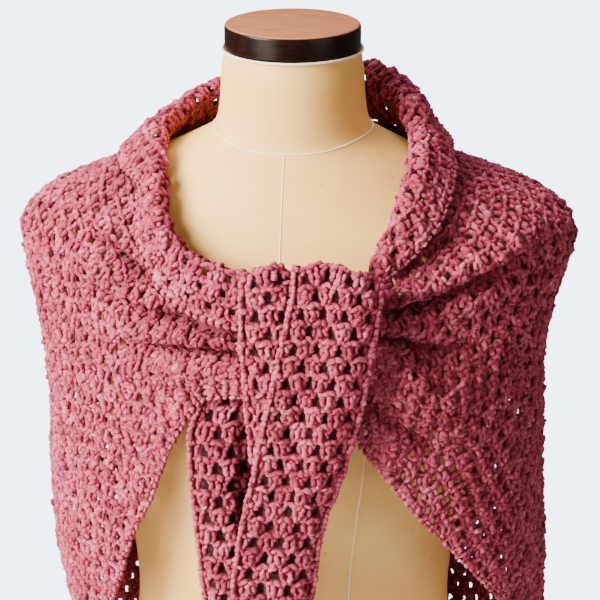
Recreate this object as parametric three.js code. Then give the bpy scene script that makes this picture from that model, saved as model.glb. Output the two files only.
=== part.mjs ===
// A crocheted triangle shawl, worn on a limbless dress form.
//
// Units are millimetres. +Z is up and the front of the form faces -Y. The origin is the
// middle of the underside of the base board, where the form stands.
//
// The shawl hangs from the shoulders as a cape. Its long edge is folded out as a collar,
// and its two ends meet at the upper chest, where one is drawn over the other. A bearing
// is an angle round the neck in degrees: 0 is the front, 90 the wearer's left (+X) and
// 180 the back. Every cloth piece is a wall of even thickness on a worked-out surface.

import * as THREE from 'three';

const CLOTH = 5; // thickness of the chenille crochet
const SEAM = 0.3; // gap between neighbouring pieces
const REST = 0.8; // gap that the cloth keeps to the form where it rests on it

const BOARD_HEIGHT = 20;
const BOARD_EDGE = 3; // bevel round the board
const NECK_TOP = 748.7;
const CAP_RADIUS = 52.5;
const CAP_HEIGHT = 19.5;
const CAP_ROUND = 5; // radius of the cap's rounded rims

const CHENILLE = { color: 0xc0607a, roughness: 0.95, metalness: 0 };
const CHENILLE_SHADE = { color: 0xa24c63, roughness: 0.95, metalness: 0 };
const CALICO = { color: 0xf2dcb4, roughness: 0.85, metalness: 0 };
const DARK_WOOD = { color: 0x5a2a1c, roughness: 0.4, metalness: 0 };

const { lerp, clamp, smoothstep, degToRad } = THREE.MathUtils;

// A table of rows with named columns
function table(names, rows) {
  return rows.map((row) => Object.fromEntries(names.map((name, i) => [name, row[i]])));
}

// Smooth curve through one column of a table, without overshoot, read against its key
function curve(rows, key, column) {
  const sorted = [...rows].sort((a, b) => a[key] - b[key]);
  const at = sorted.map((row) => row[key]);
  const value = sorted.map((row) => row[column]);
  const slope = at.slice(1).map((x, i) => (value[i + 1] - value[i]) / (x - at[i]));
  const tangent = at.map((x, i) => {
    if (i === 0) return slope[0];
    if (i === at.length - 1) return slope[i - 1];
    const product = slope[i - 1] * slope[i];
    return product <= 0 ? 0 : (2 * product) / (slope[i - 1] + slope[i]);
  });
  return (x) => {
    if (x <= at[0]) return value[0];
    if (x >= at[at.length - 1]) return value[value.length - 1];
    const i = at.findIndex((edge) => edge > x) - 1;
    const step = at[i + 1] - at[i];
    const t = (x - at[i]) / step;
    const rise = t * t * (3 - 2 * t);
    const leave = t * (1 - t) * (1 - t);
    const arrive = t * t * (t - 1);
    return lerp(value[i], value[i + 1], rise) + step * (leave * tangent[i] + arrive * tangent[i + 1]);
  };
}

// All columns of a table but its key, as curves by name
function curves(rows, key) {
  const names = Object.keys(rows[0]).filter((name) => name !== key);
  return Object.fromEntries(names.map((name) => [name, curve(rows, key, name)]));
}

// Half-widths and depths of the dress form, with the exponent of its rounded section
const FORM = curves(table(
  ['height', 'side', 'front', 'back', 'power'],
  [
    [749, 55, 55, 55, 2],
    [720, 55.5, 55.5, 56, 2],
    [700, 57.5, 56, 60, 2],
    [688, 62, 57.5, 64, 2],
    [680, 75, 60, 67, 2],
    [672, 92, 65, 73, 2],
    [663, 110, 70, 80, 2],
    [652, 125, 75, 87, 2],
    [640, 148, 81, 93, 2],
    [630, 170, 85, 97, 2],
    [622, 184, 88, 99, 2],
    [605, 199, 93, 103, 2.05],
    [580, 203, 101, 108, 2.1],
    [550, 196, 108, 110, 2.2],
    [520, 182, 114, 108, 2.25],
    [490, 163, 117, 104, 2.3],
    [450, 146, 114, 98, 2.3],
    [400, 137, 104, 88, 2.2],
    [350, 131, 95, 80, 2.1],
    [300, 127, 90, 76, 2.1],
    [250, 132, 93, 88, 2.1],
    [200, 147, 100, 108, 2.1],
    [150, 160, 108, 118, 2.2],
    [110, 166, 112, 122, 2.2],
    [60, 166, 109, 119, 2.2],
    [20, 160, 105, 115, 2.2],
  ],
), 'height');

// The cape's middle surface. Left and right are the wearer's -X and +X sides.
const CAPE = curves(table(
  ['height', 'left', 'right', 'front', 'back', 'power'],
  [
    [712, 70, 70, 66, 70, 2],
    [700, 76, 76, 68, 74, 2],
    [690, 83, 83, 70, 77, 2],
    [680, 91, 91, 73, 80, 1.95],
    [672, 102, 102, 78, 84, 1.9],
    [664, 118, 118, 83, 89, 1.85],
    [656, 133, 136, 88, 95, 1.8],
    [648, 149, 157, 93, 101, 1.75],
    [640, 169, 182, 98, 107, 1.7],
    [631, 190, 202, 102, 112, 1.7],
    [620, 206, 215, 107, 116, 1.7],
    [605, 214, 218, 112, 120, 1.7],
    [590, 213, 215, 117, 123, 1.75],
    [544, 204, 202, 127, 127, 1.85],
    [500, 196, 196, 133, 129, 2],
    [460, 193, 196, 134, 130, 2],
    [400, 193, 196, 130, 132, 2.1],
    [340, 190, 199, 124, 134, 2.1],
    [280, 180, 199, 118, 136, 2.1],
    [200, 173, 192, 115, 138, 2.1],
    [50, 170, 186, 112, 140, 2.1],
  ],
), 'height');
const BACK_POWER = 2.2;

// Round the neck: where the cape ends under the collar, the collar's fold with its stand
// above the cape's surface, and the collar's loose edge with its own
const NECKLINE = curves(table(
  ['bearing', 'crease', 'fold', 'foldStand', 'edge', 'edgeStand'],
  [
    [-180, 674, 712, 25, 656, 18],
    [-160, 674, 706, 20, 657, 14],
    [-135, 674, 696, 14, 659, 10],
    [-105, 669, 686, 9.5, 661, 9.5],
    [-80, 660, 676, 9, 656, 9.5],
    [-62, 644, 665, 9, 650, 10],
    [-53, 630, 654, 9, 634, 10.5],
    [-48, 620, 643, 9, 618, 11],
    [-42, 609, 630, 9, 598, 11],
    [-33, 598, 616, 9, 579, 11],
    [-22, 590, 608, 9, 569, 11],
    [-10, 586, 603, 8, 565, 10.5],
    [11, 585, 600, 8, 565, 9],
    [28, 586, 603, 8, 588, 9],
    [33, 592, 611, 8.5, 596, 10.5],
    [38.5, 602, 624, 9, 604, 11],
    [43.6, 617, 637, 9, 613, 11],
    [50, 630, 650, 9, 623, 11],
    [60.6, 643, 664, 9, 641, 10.5],
    [77, 659, 677, 9, 658, 10],
    [90, 668, 687, 10, 664, 10],
    [105, 672, 700, 14, 664, 12],
    [135, 674, 709, 20, 661, 15],
    [160, 674, 713, 24, 658, 17],
    [180, 674, 712, 25, 656, 18],
  ],
), 'bearing');

// Lower edge of the cape, round from the chest to the point at the back
const HEM = curve(table(
  ['bearing', 'height'],
  [
    [-180, 55],
    [-150, 104],
    [-120, 170],
    [-90, 238],
    [-70, 282],
    [-58.3, 316],
    [-53.2, 344],
    [-47.6, 383],
    [-42, 413],
    [-35.3, 458],
    [-26.7, 498],
    [-22, 509],
    [-8, 513],
    [11, 512],
    [18, 502],
    [25, 484],
    [31, 461],
    [35.3, 445],
    [44, 413],
    [53, 383],
    [60.6, 356],
    [70.3, 320],
    [90, 262],
    [120, 180],
    [150, 108],
    [180, 55],
  ],
), 'bearing', 'height');

// Creases that fan out from the knot. Each runs through three places, given by bearing and
// height. Depth is above the cape's surface, or below it where negative.
const CREASES = table(
  ['bearings', 'heights', 'depth', 'halfWidth'],
  [
    [[-74, -50, -20], [590, 578, 570], 4, 34],
    [[-72, -57, -43], [621, 609, 592], -9, 7],
    [[-72, -50, -20], [606, 591, 575], 9, 10],
    [[-68, -42, -12], [586, 570, 559], -13, 7],
    [[-62, -36, -10], [556, 558, 554], 9, 9],
    [[-52, -30, -10], [537, 546, 543], -13, 7],
    [[-50, -30, -10], [518, 528, 534], 7, 10],
    [[80, 60, 44], [604, 592, 580], 4, 34],
    [[68, 54, 41], [634, 616, 600], -7, 7],
    [[84, 62, 38], [633, 613, 594], 14, 9],
    [[78, 57, 37], [616, 588, 575], -15, 9],
    [[74, 52, 37], [587, 574, 567], 8, 7],
    [[60, 47, 36], [538, 546, 556], -11, 9],
    [[46, 41, 36], [510, 528, 548], 7, 6],
    [[60, 50, 42], [500, 508, 516], 5, 12],
    [[54, 42, 28], [455, 480, 506], -4, 11],
  ],
);

// Soft folds that open towards the lower edge, where the cloth hangs free
const HANGING_FOLDS = table(
  ['bearing', 'halfWidth', 'depth'],
  [
    [-171, 9, 7],
    [-154, 9, -6],
    [-136, 10, 6],
    [-116, 10, -6],
    [-96, 11, 5],
    [97, 11, 5],
    [118, 10, -6],
    [137, 10, 7],
    [157, 9, -6],
    [173, 8, 5],
  ],
);
const FREE_FROM = 600; // height below which those folds begin
const FREE_FULL = 300; // height where they are full

// Stretches of the tied ends. Each row is a line across the cloth, and the rows run from
// the hidden end, over the top of the knot and down to the tip.
const FRONT_TAIL = table(
  ['height', 'forward', 'left', 'right'],
  [
    [586, 122, 22, 60],
    [601, 126, 20, 67],
    [617, 134, 18, 75],
    [622, 142, 17, 78],
    [612, 149, 18, 78],
    [582, 151, 13, 76],
    [557, 152, 8, 72],
    [529, 152, 2, 68],
    [487, 151, -7, 59],
    [446, 149, -15, 47],
    [404, 147, -24, 34],
    [351, 144, -30, 27],
    [290, 141, -31, 20],
    [230, 138, -25, 9],
    [180, 136, -14, -4],
  ],
);
const TAIL_PLEAT = table(
  ['height', 'forward', 'left', 'right'],
  [
    [586, 122, -2, 16],
    [601, 125, -4, 16],
    [616, 134, -17, 13],
    [622, 139, -20, 12],
    [611, 143, -21, 14],
    [585, 143, -22, 19],
    [561, 143, -22, 16],
    [530, 142, -19, 10],
    [498, 141, -17, 4],
    [461, 139, -14, -4],
  ],
);
const UNDER_TAIL = table(
  ['height', 'forward', 'left', 'right'],
  [
    [514, 121, -52, -6],
    [498, 121, -58, -2],
    [476, 131, -64, -2],
    [450, 133, -63, -4],
    [384, 134, -57, -8],
    [341, 133, -53, -12],
    [280, 131, -48, -18],
    [225, 130, -41, -25],
  ],
);

// How far the cloth stands forward across each stretch, from its left edge to its right, and
// how far it falls off at the top of the knot
const ACROSS = {
  frontTail: curves(table(
    ['share', 'forward', 'fall'],
    [[0, 0, 6], [0.12, 1.5, 3], [0.35, -1.5, 0], [0.6, 1.5, 3], [0.8, -1, 7], [0.9, -4, 11], [1, -10, 16]],
  ), 'share'),
  tailPleat: curves(table(
    ['share', 'forward', 'fall'],
    [[0, -2, 16], [0.15, 1, 10], [0.4, 2.5, 3], [0.65, 2.5, 0], [0.85, 0.5, 4], [1, -2, 11]],
  ), 'share'),
  underTail: curves(table(
    ['share', 'forward', 'fall'],
    [[0, -4, 0], [0.2, 1, 0], [0.45, 1.5, 0], [0.65, -6, 0], [1, -13, 0]],
  ), 'share'),
};

// Radius of a rounded section at a bearing
function sectionRadius(bearing, side, depth, power) {
  const angle = degToRad(bearing);
  const across = Math.abs(Math.sin(angle)) / side;
  const along = Math.abs(Math.cos(angle)) / depth;
  return (across ** power + along ** power) ** (-1 / power);
}

const isFront = (bearing) => Math.cos(degToRad(bearing)) > 0;
const isRight = (bearing) => Math.sin(degToRad(bearing)) > 0;

function formRadius(bearing, height) {
  const depth = isFront(bearing) ? FORM.front(height) : FORM.back(height);
  return sectionRadius(bearing, FORM.side(height), depth, FORM.power(height));
}

// Radius of the surface that lies a distance outside another, along its slope
function outsideRadius(radiusAt, bearing, height, distance) {
  const near = 1;
  const radius = radiusAt(bearing, height);
  const rise = (radiusAt(bearing, height + near) - radiusAt(bearing, height - near)) / (2 * near);
  const turn = radiusAt(bearing + near, height) - radiusAt(bearing - near, height);
  const round = turn / (2 * degToRad(near) * radius);
  return radius + distance * Math.hypot(1, rise, round);
}

// Radius of the cloth's middle surface where it would lie on the form
function restingRadius(bearing, height) {
  return outsideRadius(formRadius, bearing, height, CLOTH / 2 + REST);
}

function plainCapeRadius(bearing, height) {
  const side = isRight(bearing) ? CAPE.right(height) : CAPE.left(height);
  const depth = isFront(bearing) ? CAPE.front(height) : CAPE.back(height);
  const power = isFront(bearing) ? CAPE.power(height) : BACK_POWER;
  return Math.max(sectionRadius(bearing, side, depth, power), restingRadius(bearing, height));
}

// Point on a crease's own curve, which bends through its three places
function creasePoint(crease, share) {
  const bend = (ends) => {
    const control = 2 * ends[1] - (ends[0] + ends[2]) / 2;
    return lerp(lerp(ends[0], control, share), lerp(control, ends[2], share), share);
  };
  return { bearing: bend(crease.bearings), height: bend(crease.heights) };
}

const CREASE_STEPS = 24;
const CREASE_PATHS = CREASES.map((crease) => (
  Array.from({ length: CREASE_STEPS + 1 }, (_, i) => creasePoint(crease, i / CREASE_STEPS))
));

function creaseDepth(bearing, height) {
  const radius = plainCapeRadius(bearing, height);
  let total = 0;
  CREASES.forEach((crease, n) => {
    let nearest = Infinity;
    let share = 0;
    CREASE_PATHS[n].forEach((place, i) => {
      const across = degToRad(place.bearing - bearing) * radius;
      const distance = Math.hypot(across, place.height - height);
      if (distance < nearest) {
        nearest = distance;
        share = i / CREASE_STEPS;
      }
    });
    const fade = smoothstep(share, 0, 0.35);
    total += crease.depth * fade * Math.exp(-((nearest / crease.halfWidth) ** 2));
  });
  const covered = Math.min(NECKLINE.edge(bearing), NECKLINE.crease(bearing));
  const belowCollar = smoothstep(covered - height, 4, 16);
  return total * belowCollar;
}

function hangingDepth(bearing, height) {
  const open = smoothstep(FREE_FROM - height, 0, FREE_FROM - FREE_FULL);
  return HANGING_FOLDS.reduce((sum, fold) => {
    const away = Math.abs(fold.bearing - bearing);
    const turned = Math.min(away, 360 - away);
    return sum + fold.depth * open * Math.exp(-((turned / fold.halfWidth) ** 2));
  }, 0);
}

function capeRadius(bearing, height) {
  const plain = plainCapeRadius(bearing, height);
  const radius = plain + creaseDepth(bearing, height) + hangingDepth(bearing, height);
  return Math.max(radius, restingRadius(bearing, height));
}

function atBearing(bearing, radius, height) {
  const angle = degToRad(bearing);
  return new THREE.Vector3(radius * Math.sin(angle), -radius * Math.cos(angle), height);
}

// Line down the cape at one bearing, as a function of the share of its length
const MERIDIAN_STEPS = 120;
function meridian(bearing, top, low) {
  const places = Array.from({ length: MERIDIAN_STEPS + 1 }, (_, i) => {
    const height = lerp(top, low, i / MERIDIAN_STEPS);
    return new THREE.Vector2(capeRadius(bearing, height), height);
  });
  const lengths = [0];
  for (let i = 1; i < places.length; i += 1) {
    lengths.push(lengths[i - 1] + places[i].distanceTo(places[i - 1]));
  }
  const whole = lengths[lengths.length - 1];
  return (share) => {
    const wanted = share * whole;
    const i = clamp(lengths.findIndex((length) => length >= wanted), 1, MERIDIAN_STEPS);
    const last = share >= 1 ? MERIDIAN_STEPS : i;
    const part = (wanted - lengths[last - 1]) / (lengths[last] - lengths[last - 1]);
    const radius = lerp(places[last - 1].x, places[last].x, part);
    const height = lerp(places[last - 1].y, places[last].y, part);
    return atBearing(bearing, radius, height);
  };
}

// Bearings at even distances round the cape, so that facets are alike in width
const SPACING_HEIGHT = 500;
const SPACING_STEPS = 720;
const DISTANCE_ROUND = (() => {
  const sums = [0];
  let before = atBearing(-180, plainCapeRadius(-180, SPACING_HEIGHT), 0);
  for (let i = 1; i <= SPACING_STEPS; i += 1) {
    const bearing = lerp(-180, 180, i / SPACING_STEPS);
    const here = atBearing(bearing, plainCapeRadius(bearing, SPACING_HEIGHT), 0);
    sums.push(sums[i - 1] + here.distanceTo(before));
    before = here;
  }
  return sums;
})();

function distanceAt(bearing) {
  const place = ((bearing + 180) / 360) * SPACING_STEPS;
  const turns = Math.floor(place / SPACING_STEPS);
  const rest = place - turns * SPACING_STEPS;
  const i = Math.min(Math.floor(rest), SPACING_STEPS - 1);
  const whole = DISTANCE_ROUND[SPACING_STEPS];
  return turns * whole + lerp(DISTANCE_ROUND[i], DISTANCE_ROUND[i + 1], rest - i);
}

function bearingAt(distance) {
  const whole = DISTANCE_ROUND[SPACING_STEPS];
  const turns = Math.floor(distance / whole);
  const rest = distance - turns * whole;
  const i = clamp(DISTANCE_ROUND.findIndex((sum) => sum > rest), 1, SPACING_STEPS);
  const part = (rest - DISTANCE_ROUND[i - 1]) / (DISTANCE_ROUND[i] - DISTANCE_ROUND[i - 1]);
  return ((turns * SPACING_STEPS + i - 1 + part) / SPACING_STEPS) * 360 - 180;
}

// Bearings at even steps from one seam to the next
function bearingsBetween(fromBearing, toBearing, columns) {
  const from = distanceAt(fromBearing) + SEAM / 2;
  const to = distanceAt(toBearing) - SEAM / 2;
  return Array.from({ length: columns }, (_, i) => bearingAt(lerp(from, to, i / (columns - 1))));
}

const named = (bearing) => (bearing > 180 ? bearing - 360 : bearing);

// The cape as a surface of bearing and share of its length
const CROWDING = 1.35; // rows lie closer together over the shoulders than lower down
const capeLines = new Map();
function capeSurface(bearing, v) {
  if (!capeLines.has(bearing)) {
    const at = named(bearing);
    capeLines.set(bearing, meridian(at, NECKLINE.crease(at), HEM(at)));
  }
  return capeLines.get(bearing)(v <= 0 ? v : v ** CROWDING);
}

// Middle line of the collar in the upright plane at one bearing. It leaves the cape at the
// crease, turns over at the fold and lies outside as far as the loose edge.
const COLLAR_SHARE_INSIDE = 0.42; // share of the cloth's width on the inner side
function onCape(bearing, height, stand) {
  const near = 0.5;
  const radius = plainCapeRadius(bearing, height);
  const below = plainCapeRadius(bearing, height - near);
  const above = plainCapeRadius(bearing, height + near);
  const up = new THREE.Vector2(above - below, 2 * near).normalize();
  const out = new THREE.Vector2(up.y, -up.x);
  const place = new THREE.Vector2(radius, height).addScaledVector(out, stand);
  return { place, up, out };
}

function bend(start, startTangent, end, endTangent, t) {
  const pull = start.distanceTo(end) * 1.1;
  const rise = t * t * (3 - 2 * t);
  const leave = t * (1 - t) * (1 - t) * pull;
  const arrive = t * t * (t - 1) * pull;
  return start.clone().lerp(end, rise)
    .addScaledVector(startTangent, leave)
    .addScaledVector(endTangent, arrive);
}

function collarSurface(bearing, v) {
  const at = named(bearing);
  const crease = onCape(at, NECKLINE.crease(at), 0);
  crease.place.addScaledVector(crease.up, SEAM);
  const fold = onCape(at, NECKLINE.fold(at), NECKLINE.foldStand(at));
  const edge = onCape(at, NECKLINE.edge(at), NECKLINE.edgeStand(at));
  const inside = v / COLLAR_SHARE_INSIDE;
  const outside = (v - COLLAR_SHARE_INSIDE) / (1 - COLLAR_SHARE_INSIDE);
  const flat = inside < 1
    ? bend(crease.place, crease.up, fold.place, fold.out, inside)
    : bend(fold.place, fold.out, edge.place, edge.up.clone().negate(), outside);
  return atBearing(at, flat.x, flat.y);
}

// Surface of a tied end, through the rows of its table. Where it begins it lies on the
// cape's outer face, or under it where side is -1.
const SEATED_SHARE = 0.08;
const SEAT = CLOTH + 3 * SEAM;
const CREST_SPREAD = 1.6; // rows of the table that the fall at the top reaches
function tailSurface(rows, across, side) {
  const path = new THREE.CatmullRomCurve3(
    rows.map((row) => new THREE.Vector3(0, row.forward, row.height)),
    false,
    'centripetal',
  );
  const edges = new THREE.CatmullRomCurve3(
    rows.map((row) => new THREE.Vector3(row.left, row.right, 0)),
  );
  const last = rows.length - 1;
  const crest = rows.reduce((best, row, i) => (row.height > rows[best].height ? i : best), 0);
  return (u, v) => {
    const t = clamp(v, 0, 1);
    const share = clamp(u, 0, 1);
    const middle = path.getPoint(t);
    const ends = edges.getPoint(t);
    const x = lerp(ends.x, ends.y, u);
    const flare = smoothstep(t * last, 1, 3);
    const free = middle.y + across.forward(share) * flare;
    const nearCrest = Math.exp(-(((t * last - crest) / CREST_SPREAD) ** 2));
    const height = middle.z - across.fall(share) * nearCrest;
    const bearing = THREE.MathUtils.radToDeg(Math.atan2(x, middle.y));
    const radius = outsideRadius(capeRadius, bearing, height, side * SEAT);
    const seated = Math.sqrt(Math.max(radius * radius - x * x, 0));
    const leave = smoothstep(t, 0, SEATED_SHARE);
    return new THREE.Vector3(x, -lerp(seated, free, leave), height);
  };
}

// Closed solid from its corners and the triangles between them, with its faces outwards
function solid(points, faces) {
  const geometry = new THREE.BufferGeometry().setFromPoints(points);
  const volume = faces.reduce((sum, [a, b, c]) => (
    sum + points[a].dot(points[b].clone().cross(points[c]))
  ), 0);
  geometry.setIndex(faces.flatMap(([a, b, c]) => (volume < 0 ? [a, c, b] : [a, b, c])));
  geometry.computeVertexNormals();
  return geometry;
}

// Wall of cloth on a surface, half its thickness to each side
function clothWall(surface, places, rows) {
  const near = 0.002;
  const columns = places.length;
  const count = columns * rows;
  const points = [];
  for (const side of [1, -1]) {
    for (let j = 0; j < rows; j += 1) {
      for (let i = 0; i < columns; i += 1) {
        const u = places[i];
        const v = j / (rows - 1);
        const across = surface(u + near, v).sub(surface(u - near, v));
        const low = Math.max(v - near, 0);
        const high = Math.min(v + near, 1);
        const along = surface(u, high).sub(surface(u, low));
        const normal = along.cross(across).normalize();
        points.push(surface(u, v).addScaledVector(normal, (side * CLOTH) / 2));
      }
    }
  }
  const faces = [];
  const quad = (a, b, c, d) => faces.push([a, b, c], [a, c, d]);
  for (let j = 0; j < rows - 1; j += 1) {
    for (let i = 0; i < columns - 1; i += 1) {
      const a = j * columns + i;
      quad(a, a + 1, a + columns + 1, a + columns);
      const b = a + count;
      quad(b, b + columns, b + columns + 1, b + 1);
    }
  }
  for (let i = 0; i < columns - 1; i += 1) {
    const low = (rows - 1) * columns + i;
    quad(i, i + count, i + 1 + count, i + 1);
    quad(low, low + 1, low + 1 + count, low + count);
  }
  for (let j = 0; j < rows - 1; j += 1) {
    const left = j * columns;
    const right = left + columns - 1;
    quad(left, left + columns, left + columns + count, left + count);
    quad(right, right + count, right + columns + count, right + columns);
  }
  return solid(points, faces);
}

// Filled solid through rings of equal counts, closed flat at both ends
function stackedRings(rings) {
  const count = rings[0].length;
  const points = rings.flat();
  const faces = [];
  for (let j = 0; j < rings.length - 1; j += 1) {
    for (let i = 0; i < count; i += 1) {
      const a = j * count + i;
      const b = j * count + ((i + 1) % count);
      faces.push([a, b, b + count], [a, b + count, a + count]);
    }
  }
  const last = (rings.length - 1) * count;
  for (let i = 1; i < count - 1; i += 1) {
    faces.push([0, i + 1, i], [last, last + i, last + i + 1]);
  }
  return solid(points, faces);
}

const FORM_SIDES = 36;
const FORM_HEIGHTS = [
  20.3, 60, 110, 150, 200, 250, 300, 350, 400, 450, 490, 520, 550, 580, 605, 616, 624, 632,
  640, 648, 656, 664, 672, 680, 688, 700, 720, NECK_TOP,
];
function formRing(height, inset) {
  return Array.from({ length: FORM_SIDES }, (_, i) => {
    const bearing = (i / FORM_SIDES) * 360;
    return atBearing(bearing, formRadius(bearing, Math.max(height, BOARD_HEIGHT)) - inset, height);
  });
}

function formTorso() {
  return stackedRings(FORM_HEIGHTS.map((height) => formRing(height, 0)));
}

function baseBoard() {
  const inset = 4;
  return stackedRings([
    formRing(0, inset + BOARD_EDGE),
    formRing(BOARD_EDGE, inset),
    formRing(BOARD_HEIGHT - BOARD_EDGE, inset),
    formRing(BOARD_HEIGHT, inset + BOARD_EDGE),
  ]);
}

function neckCap() {
  const low = NECK_TOP + SEAM;
  const profile = new THREE.Path();
  profile.moveTo(0, low);
  profile.lineTo(CAP_RADIUS - CAP_ROUND, low);
  profile.absarc(CAP_RADIUS - CAP_ROUND, low + CAP_ROUND, CAP_ROUND, -Math.PI / 2, 0, false);
  profile.lineTo(CAP_RADIUS, low + CAP_HEIGHT - CAP_ROUND);
  profile.absarc(CAP_RADIUS - CAP_ROUND, low + CAP_HEIGHT - CAP_ROUND, CAP_ROUND, 0, Math.PI / 2, false);
  profile.lineTo(0, low + CAP_HEIGHT);
  const outline = profile.getPoints(2);
  const rounded = outline.filter((point, i) => i === 0 || point.distanceTo(outline[i - 1]) > 1e-6);
  const geometry = new THREE.LatheGeometry(rounded, FORM_SIDES);
  return geometry.rotateX(Math.PI / 2);
}

function piece(name, geometry, finish) {
  const mesh = new THREE.Mesh(geometry, new THREE.MeshStandardMaterial(finish));
  mesh.name = name;
  return mesh;
}

// Columns of facets. The collar shares those of the cape below it.
const CAPE_ROWS = 26;
const COLLAR_ROWS = 12;
const RIGHT_BACK = bearingsBetween(100, 180, 13);
const LEFT_BACK = bearingsBetween(180, 260, 13);
const LEFT_FRONT = bearingsBetween(-100, 11, 32);
const RIGHT_FRONT = bearingsBetween(11, 100, 27);
const LEFT_COLLAR = LEFT_FRONT.filter((bearing) => bearing < -5);
const RIGHT_COLLAR = RIGHT_FRONT.filter((bearing) => bearing > 32);

function capePiece(name, bearings) {
  return piece(name, clothWall(capeSurface, bearings, CAPE_ROWS), CHENILLE);
}

function collarPiece(name, bearings) {
  return piece(name, clothWall(collarSurface, bearings, COLLAR_ROWS), CHENILLE);
}

function tailPiece(name, surface, columns, rows, finish) {
  const shares = Array.from({ length: columns }, (_, i) => i / (columns - 1));
  return piece(name, clothWall(surface, shares, rows), finish);
}

const shawl = new THREE.Group();
shawl.add(
  capePiece('shawl_left_back', LEFT_BACK),
  capePiece('shawl_right_back', RIGHT_BACK),
  capePiece('shawl_left_front', LEFT_FRONT),
  capePiece('shawl_right_front', RIGHT_FRONT),
  collarPiece('collar_left', LEFT_COLLAR),
  collarPiece('collar_back', [...RIGHT_BACK, ...LEFT_BACK]),
  collarPiece('collar_right', RIGHT_COLLAR),
  tailPiece('front_tail', tailSurface(FRONT_TAIL, ACROSS.frontTail, 1), 11, 27, CHENILLE),
  tailPiece('tail_pleat', tailSurface(TAIL_PLEAT, ACROSS.tailPleat, 1), 7, 20, CHENILLE),
  tailPiece('under_tail', tailSurface(UNDER_TAIL, ACROSS.underTail, -1), 10, 15, CHENILLE_SHADE),
);

const dressForm = new THREE.Group();
dressForm.add(
  piece('form_torso', formTorso(), CALICO),
  piece('neck_cap', neckCap(), DARK_WOOD),
  piece('base_board', baseBoard(), DARK_WOOD),
);

const part = new THREE.Group();
part.add(shawl, dressForm);

export default part;
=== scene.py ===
"""A crocheted triangle shawl on a limbless dress form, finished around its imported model."""

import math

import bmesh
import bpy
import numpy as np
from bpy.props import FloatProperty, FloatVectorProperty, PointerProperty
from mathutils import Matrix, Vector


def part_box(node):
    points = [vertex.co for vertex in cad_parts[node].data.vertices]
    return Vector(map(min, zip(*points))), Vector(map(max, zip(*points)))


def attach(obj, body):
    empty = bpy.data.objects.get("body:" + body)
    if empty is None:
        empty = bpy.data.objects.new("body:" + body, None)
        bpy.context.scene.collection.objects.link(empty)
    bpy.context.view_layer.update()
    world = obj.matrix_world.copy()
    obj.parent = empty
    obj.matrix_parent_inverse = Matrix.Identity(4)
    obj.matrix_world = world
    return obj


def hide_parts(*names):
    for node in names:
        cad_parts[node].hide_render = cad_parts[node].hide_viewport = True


bl_info = {
    "name": "Crocheted shawl on a dress form",
    "version": (1, 0, 0),
    "blender": (4, 5, 0),
    "location": "3D View > Sidebar > Shawl",
    "description": "Works chenille stitches, edging, form and stage around the packed solids",
    "category": "Object",
}

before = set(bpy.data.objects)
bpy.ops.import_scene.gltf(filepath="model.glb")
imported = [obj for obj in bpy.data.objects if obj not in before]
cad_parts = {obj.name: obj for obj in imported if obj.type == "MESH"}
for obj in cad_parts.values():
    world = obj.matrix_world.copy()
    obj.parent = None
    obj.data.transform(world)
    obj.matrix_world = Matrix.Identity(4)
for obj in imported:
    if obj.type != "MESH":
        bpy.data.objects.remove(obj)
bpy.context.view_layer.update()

MM = 0.001
SEED = 7167


# Shapes shared by the cloth and the form. Lengths are in millimetres and bearings in degrees
# round the neck: 0 is the front (-Y), 90 the +X side and 180 the back. Names say left for
# the -X side, as the front is seen.

CLOTH = 5.0  # thickness of the cloth
SEAM = 0.3  # gap between neighbouring stretches
REST = 0.8  # gap between the cloth and the form
SEAT = CLOTH + 3 * SEAM  # how far a tied end begins from the middle of the cape's cloth
BACK_POWER = 2.2  # how square the cape's back is, where 2 is an ellipse
FREE_FROM = 600.0  # heights between which the hanging folds grow
FREE_FULL = 300.0
COLLAR_SHARE_INSIDE = 0.42  # share of the collar that lies inside its fold
PULL = 1.1  # how far a bend holds to the directions of its ends

FORM_NAMES = ("height", "side", "front", "back", "power")
FORM_ROWS = (
    (749, 55, 55, 55, 2),
    (720, 55.5, 55.5, 56, 2),
    (700, 57.5, 56, 60, 2),
    (688, 62, 57.5, 64, 2),
    (680, 75, 60, 67, 2),
    (672, 92, 65, 73, 2),
    (663, 110, 70, 80, 2),
    (652, 125, 75, 87, 2),
    (640, 148, 81, 93, 2),
    (630, 170, 85, 97, 2),
    (622, 184, 88, 99, 2),
    (605, 199, 93, 103, 2.05),
    (580, 203, 101, 108, 2.1),
    (550, 196, 108, 110, 2.2),
    (520, 182, 114, 108, 2.25),
    (490, 163, 117, 104, 2.3),
    (450, 146, 114, 98, 2.3),
    (400, 137, 104, 88, 2.2),
    (350, 131, 95, 80, 2.1),
    (300, 127, 90, 76, 2.1),
    (250, 132, 93, 88, 2.1),
    (200, 147, 100, 108, 2.1),
    (150, 160, 108, 118, 2.2),
    (110, 166, 112, 122, 2.2),
    (60, 166, 109, 119, 2.2),
    (20, 160, 105, 115, 2.2),
)

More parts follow.
